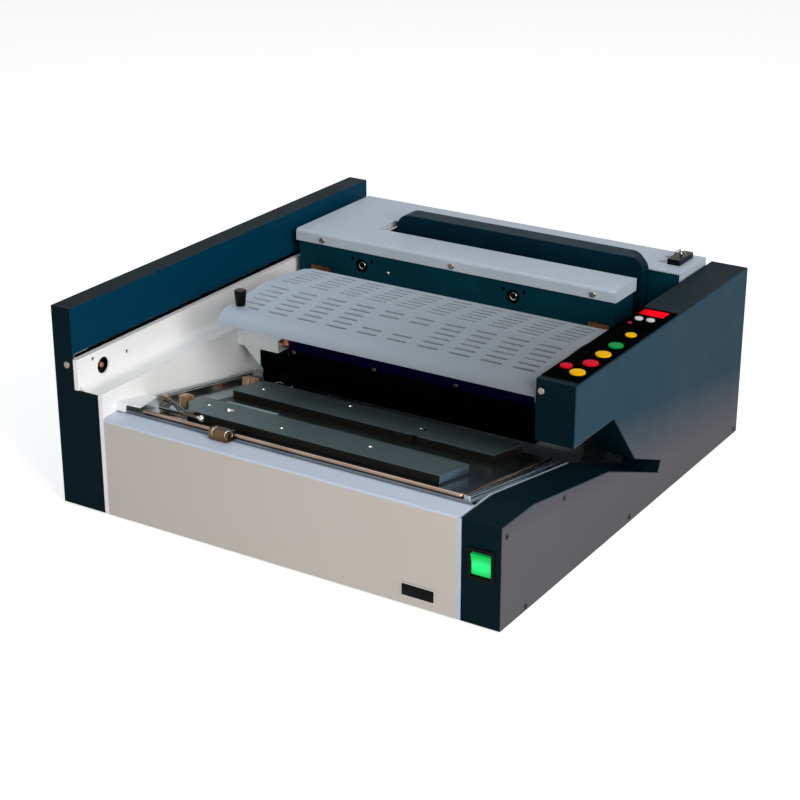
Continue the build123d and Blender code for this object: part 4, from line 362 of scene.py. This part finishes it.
NODE_FINISH = {
    "base_plate": ZINC, "rubber_feet": RUBBER, "left_side_cover": PETROL, "right_side_cover": PETROL_FLANK,
    "right_frame_plate": MOTOR, "front_panel": PANEL_WHITE, "rear_panel": WHITE,
    "left_rail_plate": WALL_WHITE, "left_inner_wall": WALL_WHITE, "right_inner_wall": WHITE,
    "cover_tray": TRAY, "tray_rails": RAIL_ZINC, "tray_fittings": SMALL_PARTS, "nip_table": SLATE_TABLE,
    "nip_front_plate": SLATE, "nip_rear_plate": SLATE, "lift_cams": CUTTER, "lift_drive": ZINC,
    "register_lever": LEVER, "stop_block": BRONZE, "guide_rods": CHROME_ROD, "rod_posts": BRASS,
    "front_pulley": ABS_BLACK, "rear_pulley": ALUMINIUM, "drive_belt": RUBBER,
    "carriage_motor": MOTOR, "carriage_cover": WHITE, "front_beam": PETROL_CLAMP,
    "rear_beam": PETROL_CLAMP, "slide_blocks": ALUMINIUM, "carriage_fittings": FITTINGS,
    "clamp_jaw": JAW_PETROL, "jaw_screw": CUTTER, "jaw_motor": MOTOR, "glue_guard": GUARD_WHITE,
    "guard_knob": KNOB_BLACK, "guard_arms": ZINC, "station_plates": ZINC, "glue_tank": TANK,
    "glue_roller_front": ROLLER, "glue_roller_rear": ROLLER, "notch_cutter": CUTTER,
    "drive_motors": MOTOR, "channel_bracket": WALL_WHITE, "switch_bezel": ABS_BLACK,
    "power_rocker": ROCKER_GREEN, "control_membrane": FOIL, "panel_lenses": RED_LENSES,
    "control_board": BOARD, "power_supply": ZINC, "power_inlet": ABS_BLACK, "case_screws": SCREWS,
    "key_white_left": KEY_WHITE, "key_white_right": KEY_WHITE, "key_yellow_top": KEY_YELLOW,
    "key_green": KEY_GREEN, "key_yellow_middle": KEY_YELLOW, "key_red": KEY_RED,
    "key_yellow_bottom": KEY_YELLOW, "key_red_small": KEY_RED,
}

for node_name, finish in NODE_FINISH.items():
    node_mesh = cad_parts[node_name].data
    node_mesh.materials.clear()
    node_mesh.materials.append(finish)


# Shapes


def piece(name, parts, material, body, smooth=60):
    """One mesh from grids of closed rings; parts is a list of (points, faces) in millimetres."""
    points = []
    faces = []
    for some_points, some_faces in parts:
        shift = sum(len(block) for block in points)
        points.append(np.asarray(some_points, float).reshape(-1, 3))
        faces.extend([[index + shift for index in face] for face in some_faces])
    mesh = bpy.data.meshes.new(name)
    mesh.from_pydata((np.concatenate(points) * MM).tolist(), [], faces)
    mesh.update()
    made = bpy.data.objects.new(name, mesh)
    bpy.context.scene.collection.objects.link(made)
    mesh.materials.append(material)
    mesh.shade_smooth()
    if smooth < 180:
        mesh.set_sharp_from_angle(angle=math.radians(smooth))
    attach(made, body)
    return made


def rings(grid, caps=True):
    """Faces between successive closed rings: grid[i, j] joins grid[i+1, j+1]; the ends are capped."""
    rows, count, _ = grid.shape
    first = np.arange(rows - 1)[:, None] * count
    here = np.arange(count)[None, :]
    after = (here + 1) % count
    quads = np.stack([first + here, first + after, first + count + after, first + count + here], -1)
    faces = quads.reshape(-1, 4).tolist()
    if caps:
        faces.append(list(range(count))[::-1])
        faces.append(list(range((rows - 1) * count, rows * count)))
    return grid.reshape(-1, 3), faces


def turned(centre, axis, profile, sides=48):
    """A profile of (height, radius) turned about an axis: centre + h a + r (cos t u + sin t v)."""
    a = np.array(Vector(axis).normalized())
    u = np.array(Vector(a).orthogonal().normalized())
    v = np.cross(a, u)
    t = np.linspace(0, 2 * np.pi, sides, endpoint=False)
    circle = np.cos(t)[:, None] * u + np.sin(t)[:, None] * v
    h, r = np.array(profile, float).T
    return rings(np.array(centre) + h[:, None, None] * a + r[:, None, None] * circle)


def tube(path, radius, sides=12):
    """A circle carried along a path: each ring stands square to the path's local direction."""
    path = np.array(path, float)
    along = np.gradient(path, axis=0)
    along /= np.linalg.norm(along, axis=1)[:, None]
    side = np.cross(along, np.array([0.31, 0.17, 0.94]))
    side /= np.linalg.norm(side, axis=1)[:, None]
    up = np.cross(along, side)
    t = np.linspace(0, 2 * np.pi, sides, endpoint=False)
    ring = np.cos(t)[None, :, None] * side[:, None] + np.sin(t)[None, :, None] * up[:, None]
    return rings((path[:, None] + radius * ring)[:, ::-1])


def bent(corners, radius, steps=6):
    """A polyline whose corners are rounded: each is replaced by the quadratic through its two cuts."""
    corners = np.array(corners, float)
    points = [corners[0]]
    t = np.linspace(0, 1, steps)[:, None]
    for before, corner, after in zip(corners, corners[1:], corners[2:]):
        first = corner + radius * (before - corner) / np.linalg.norm(before - corner)
        last = corner + radius * (after - corner) / np.linalg.norm(after - corner)
        points.extend((1 - t) ** 2 * first + 2 * t * (1 - t) * corner + t ** 2 * last)
    points.append(corners[-1])
    return np.array(points)


def rounded_outline(width, height, corner, steps=5):
    """A rectangle round the origin with quarter-circle corners, anticlockwise."""
    t = np.linspace(0, np.pi / 2, steps)
    quarter = np.stack([np.cos(t), np.sin(t)], -1) * corner
    x, y = width / 2 - corner, height / 2 - corner
    turns = []
    for k, (sx, sy) in enumerate(((1, 1), (-1, 1), (-1, -1), (1, -1))):
        c, s = math.cos(k * math.pi / 2), math.sin(k * math.pi / 2)
        turns.append(quarter @ np.array([[c, s], [-s, c]]) + (sx * x, sy * y))
    return np.concatenate(turns)


def pad(centre, right, up, width, height, thick, corner, edge=0.3):
    """A rounded plate: its outline rises along the normal and draws in by a quarter circle at the edge."""
    right = np.array(Vector(right).normalized())
    up = np.array(Vector(up).normalized())
    out = np.cross(right, up)
    t = np.linspace(0, np.pi / 2, 4)
    rise = np.concatenate([[0.0], thick - edge + edge * np.sin(t)])
    draw = np.concatenate([[0.0], edge * (1 - np.cos(t))])
    layers = []
    for h, d in zip(rise, draw):
        flat = rounded_outline(width - 2 * d, height - 2 * d, max(corner - d, 0.05))
        layers.append(np.array(centre) + h * out + flat[:, :1] * right + flat[:, 1:] * up)
    return rings(np.array(layers))


def on_table(x, v, w):
    """A point given in the sloping table's frame."""
    y = TABLE_Y + v * math.cos(TILT) + w * math.sin(TILT)
    z = TABLE_Z - v * math.sin(TILT) + w * math.cos(TILT)
    return (x, y, z)


TABLE_NORMAL = (0.0, math.sin(TILT), math.cos(TILT))
TABLE_ALONG = (0.0, math.cos(TILT), -math.sin(TILT))


def sunk_head(centre, axis, radius):
    """A countersunk screw head: dish, rim and a round pit, turned about its axis."""
    return turned(centre, axis, [(-2.0, radius * 0.5), (-0.25, radius), (0.0, radius - 0.25),
                                 (0.0, radius * 0.5), (-1.2, radius * 0.42)], 24)


# Pieces that the photograph shows and the plain solids leave out

plate_screws = {
    "nip_front": [(-124.4, 37.5), (-27.9, 24.0), (64.2, 36.9)],
    "table": [(-127.7, 133.5), (-31.8, 149.0), (61.0, 133.0)],
}
for body_name, places in plate_screws.items():
    heads = [sunk_head(on_table(x, v, NIP_PLATE_TOP - 0.2), TABLE_NORMAL, 4.15) for x, v in places]
    piece("Plate_screws_" + body_name, heads, CHROME, body_name)

bush = on_table(-99.7, 37.5, NIP_PLATE_TOP - 0.4)
bush_profile = [(-6.0, 5.4), (0.0, 5.4), (0.0, 4.9), (-3.5, 3.4), (-3.5, 0.4)]
piece("Plate_bush", [turned(bush, TABLE_NORMAL, bush_profile)], CHROME, "nip_front")

end_face = on_table(158.0, 32.4, NIP_PLATE_TOP / 2)
piece("Plate_end_face", [pad(end_face, TABLE_ALONG, TABLE_NORMAL, 53.4, 8.2, 0.2, 0.3, 0.1)], GROUND_END,
      "nip_front")

strip = on_table(-91.0, 62.2, NIP_PLATE_TOP - 0.6)
piece("Plate_scale_strip", [pad(strip, (1, 0, 0), TABLE_ALONG, 60, 5.4, 0.8, 0.4)], SCALE, "nip_front")

lip_y = TABLE_Y - 16.2 * math.cos(TILT)
piece("Tray_lip_edge", [pad((10.5, lip_y, 105.0), (1, 0, 0), (0, 0, 1), 388, 2.6, 0.2, 0.3, 0.1)], CUTTER,
      "frame")

rim = bent([on_table(-165.0, -13.0, 2.0), on_table(191.6, -13.0, 2.0), on_table(191.6, 160.0, 2.0)], 4.0)
rim_tube = piece("Rim_tube", [tube(rim, 2.0, 20)], RIM_CHROME, "frame")
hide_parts("tray_rails")

piece("Right_rail", [pad(on_table(198.0, 72.6, 0.0), (1, 0, 0), TABLE_ALONG, 7.0, 173.0, 3.6, 1.0, 0.8)],
      RAIL_ZINC, "frame")
rail_middle = on_table(-189.0, 122.0, 0.0)
groove_middle = on_table(-184.2, 122.0, 0.0)
line_middle = on_table(-181.2, 122.0, 0.0)
LEFT_RAIL_LENGTH = 160.0
piece("Left_rail_broad", [pad(rail_middle, (1, 0, 0), TABLE_ALONG, 6.4, LEFT_RAIL_LENGTH, 5.0, 1.5, 1.2)],
      RAIL_ZINC, "frame")
piece("Left_rail_groove", [pad(groove_middle, (1, 0, 0), TABLE_ALONG, 4.0, LEFT_RAIL_LENGTH, 1.2, 0.3, 0.2)],
      RUBBER, "frame")
piece("Left_rail_thin", [pad(line_middle, (1, 0, 0), TABLE_ALONG, 1.6, LEFT_RAIL_LENGTH, 5.2, 0.5, 0.4)],
      CHROME, "frame")

# Thin bright chrome pins on the brass blocks' front faces, set there as painted highlight lines.
highlight_pins = [tube([on_table(x, v, 0.6), on_table(x, v, 4.5), on_table(x, v, height)], 1.0)
              for x, v, height in ((-159.5, 36.9, 10.4), (-159.0, 149.9, 11.2))]
piece("Block_highlight_pins", highlight_pins, BRIGHT_PIN, "frame")

# Thin zinc lines along the lever's outlines, as painted highlights on its edges.
highlight_outlines = [
    [on_table(-170, 27, 8.9), on_table(-152, 17, 8.9), on_table(-134, 6, 8.9), on_table(-119, -3, 8.9)],
    [on_table(-168, 21, 8.9), on_table(-161, 6, 8.9), on_table(-153, -7, 8.9)],
    [on_table(-152, -9, 8.9), on_table(-140, -8, 8.9), on_table(-122, -5.5, 8.9)],
    [on_table(-155, 17, 8.9), on_table(-152, 5, 8.9), on_table(-150, -7, 8.9)],
]
piece("Lever_edge_highlights", [tube(path, 0.35, 8) for path in highlight_outlines], ZINC, "lever")

ring_turn = np.linspace(-0.5, 1.5 * np.pi, 30)
for index, (x, radius) in enumerate(((-72.5, 4.3), (-57.6, 4.1))):
    loop = [on_table(x + 1.5 * math.cos(t), -20.6 + radius * math.cos(t), 3.2 + radius * math.sin(t))
            for t in ring_turn]
    piece(f"Stop_clip_{index}", [tube(loop, 0.5)], CHROME, "stop")

hooks = [
    [on_table(-141, 171, 6), on_table(-135, 173, 9), on_table(-130, 171, 8)],
    [on_table(-128, 169, 3), on_table(-124, 170, 5), on_table(-118, 172, 7)],
]
piece("Spring_hooks", [tube(bent(path, 2.5), 0.6) for path in hooks], CHROME, "frame")

fold = [on_table(-186.0, 203.0, 7.0), on_table(-172.0, 190.0, 9.0), on_table(-158.0, 172.0, 9.0),
        on_table(-155.0, 168.0, 3.0)]
piece("Angle_strip", [tube(bent(fold, 2.5), 1.5)], ZINC, "frame")

bush_profile = [(0.0, 3.9), (0.6, 4.6), (8.6, 4.6), (9.2, 3.9)]
piece("Roller_bush", [turned((-142.0, -29.5, 118.3), (1, 0, 0), bush_profile)], COPPER, "frame")

tank_screws = [turned((x, -35.0, z), (0, -1, 0), [(-1.0, 2.6), (0.5, 2.6), (1.2, 2.0), (1.5, 0.8)], 24)
               for x, z in ((-125.0, 112.6), (-26.0, 114.6), (70.0, 118.0))]
piece("Tank_screws", tank_screws, BRONZE, "frame")

for index, x in enumerate((-132.3, 55.3)):
    piece(f"Socket_ring_{index}", [turned((x, BEAM_FRONT + 2.2, 166.2), (0, -1, 0),
                                          [(0.0, 4.3), (1.2, 4.3), (1.5, 3.9), (1.2, 3.3), (0.0, 3.3)], 36)],
          CHROME, "carriage")

bail = [(183.0, 222, 200.5), (183.5, 222, 205.5), (187.0, 224, 207.5), (191.0, 226, 206.0),
        (193.0, 228, 200.5)]
coil = [(184.5 + 6 * t, 232 - 10 * t, 203.5 + 1.8 * math.sin(6 * math.pi * t))
        for t in np.linspace(0, 1, 40)]
piece("Clip_wires", [tube(bent(bail, 1.5), 0.7), tube(coil, 0.7)], CHROME, "carriage")
leads = [[(181.5, y, 197.0), (178.0, y, 197.4), (174.0, y - 0.6, 196.4), (170.0, y - 1.0, 195.6)]
         for y in (212.5, 230.5)]
piece("Clip_leads", [tube(bent(path, 1.2), 0.6) for path in leads], ZINC, "carriage")

side_places = ((-252.5, 92.0), (-215.0, 6.8), (-146.0, 86.0), (-5.0, 8.3), (252.0, 7.8))
recess_profile = [(-0.6, 3.3), (0.5, 3.3), (0.7, 3.0), (0.7, 1.6), (0.2, 1.5)]
side_recesses = [turned((249.6, y, z), (1, 0, 0), recess_profile, 32) for y, z in side_places]
piece("Side_recesses", side_recesses, RUBBER, "frame")

beam_screw = turned((-98.2, BEAM_FRONT, 163.9), (0, -1, 0), [(-1.0, 1.7), (0.5, 1.7), (0.9, 1.1)], 24)
piece("Beam_screw", [beam_screw], BRIGHT_PIN, "carriage")

piece("Badge_border", [pad((165.0, FRONT, 17.0), (1, 0, 0), (0, 0, 1), 36, 14, 0.8, 1.2)], CHROME, "frame")
piece("Badge_face", [pad((165.0, FRONT - 0.8, 17.0), (1, 0, 0), (0, 0, 1), 33.6, 11.6, 0.25, 0.8, 0.1)],
      ABS_BLACK, "frame")

bolt = (-224.7, -221.8, 141.1)
bolt_profile = [(-2.0, 2.8), (1.0, 2.8), (1.6, 2.2), (1.6, 1.2), (0.6, 1.1)]
piece("Pulley_bolt", [turned(bolt, (1, 0, 0), bolt_profile)], BRASS, "frame")


# Floor, light and camera


def white_floor():
    """Pale floor: matt, and lifted to white where the camera, gloss or glass looks at it."""
    material, tree, shader, place = start("Floor_pale", Roughness=0.9)
    shader.inputs["Base Color"].default_value = colour("#f2f2f2")
    path = add(tree, "ShaderNodeLightPath")
    seen = add(tree, "ShaderNodeMath", {"operation": "MAXIMUM"},
               {0: path.outputs["Is Camera Ray"], 1: path.outputs["Is Glossy Ray"]})
    seen = add(tree, "ShaderNodeMath", {"operation": "MAXIMUM"},
               {0: seen.outputs[0], 1: path.outputs["Is Transmission Ray"]})
    lift = add(tree, "ShaderNodeMath", {"operation": "MULTIPLY", 1: 0.6}, {0: seen.outputs[0]})
    tree.links.new(lift.outputs[0], shader.inputs["Emission Strength"])
    shader.inputs["Emission Color"].default_value = (1, 1, 1, 1)
    return material


FLOOR_SIDES = 64
radius = np.array([[1.0], [9.0]])
turn = np.linspace(0, 2 * np.pi, FLOOR_SIDES, endpoint=False)[None, :]
disc = np.stack([radius * np.cos(turn), radius * np.sin(turn), 0 * radius * turn], -1)
floor_points, floor_faces = rings(disc, False)
floor_faces.append(list(range(FLOOR_SIDES)))
floor_mesh = bpy.data.meshes.new("Floor")
floor_mesh.from_pydata(floor_points.tolist(), [], floor_faces)
floor_mesh.materials.append(white_floor())
floor = bpy.data.objects.new("Floor", floor_mesh)
bpy.context.scene.collection.objects.link(floor)


def soft_light(name, place, aim, size, power, tone="#ffffff"):
    """A square area lamp that looks at a point."""
    lamp = bpy.data.lights.new(name, "AREA")
    lamp.size = size
    lamp.energy = power
    lamp.color = colour(tone)[:3]
    holder = bpy.data.objects.new(name, lamp)
    holder.location = place
    holder.rotation_euler = (Vector(aim) - Vector(place)).to_track_quat("-Z", "Y").to_euler()
    bpy.context.scene.collection.objects.link(holder)


soft_light("Key_light", (1.9, -0.95, 1.1), (-0.1, -0.05, 0.12), 1.2, 38, "#fffaf4")
soft_light("Front_light", (0.7, -2.3, 0.55), (0, 0, 0.12), 1.2, 7, "#fffaf4")
soft_light("Top_light", (-0.5, 0.3, 2.0), (0, 0, 0.12), 1.4, 7, "#eaf2ff")

world = bpy.data.worlds.new("Studio")
bpy.context.scene.world = world
world.use_nodes = True
sky = world.node_tree
sky.nodes.clear()
path = add(sky, "ShaderNodeLightPath")
seen = add(sky, "ShaderNodeMath", {"operation": "MAXIMUM"},
           {0: path.outputs["Is Camera Ray"], 1: path.outputs["Is Glossy Ray"]})
seen = add(sky, "ShaderNodeMath", {"operation": "MAXIMUM"},
           {0: seen.outputs[0], 1: path.outputs["Is Transmission Ray"]})
level = add(sky, "ShaderNodeMapRange", {"To Min": 0.28, "To Max": 1.0}, {"Value": seen.outputs[0]})
back = add(sky, "ShaderNodeBackground", {"Color": (1, 1, 1, 1)}, {"Strength": level.outputs["Result"]})
add(sky, "ShaderNodeOutputWorld", links={"Surface": back.outputs["Background"]})

scene = bpy.context.scene
camera_data = bpy.data.cameras.new("Camera")
camera_data.lens = 87.07
camera_data.sensor_width = 36.0
camera = bpy.data.objects.new("Camera", camera_data)
camera.location = (0.9641, -1.5624, 0.8421)
target = Vector((0.0339, -0.0814, 0.1111))
camera.rotation_euler = (target - camera.location).to_track_quat("-Z", "Y").to_euler()
scene.collection.objects.link(camera)
scene.camera = camera
scene.view_settings.view_transform = "Standard"
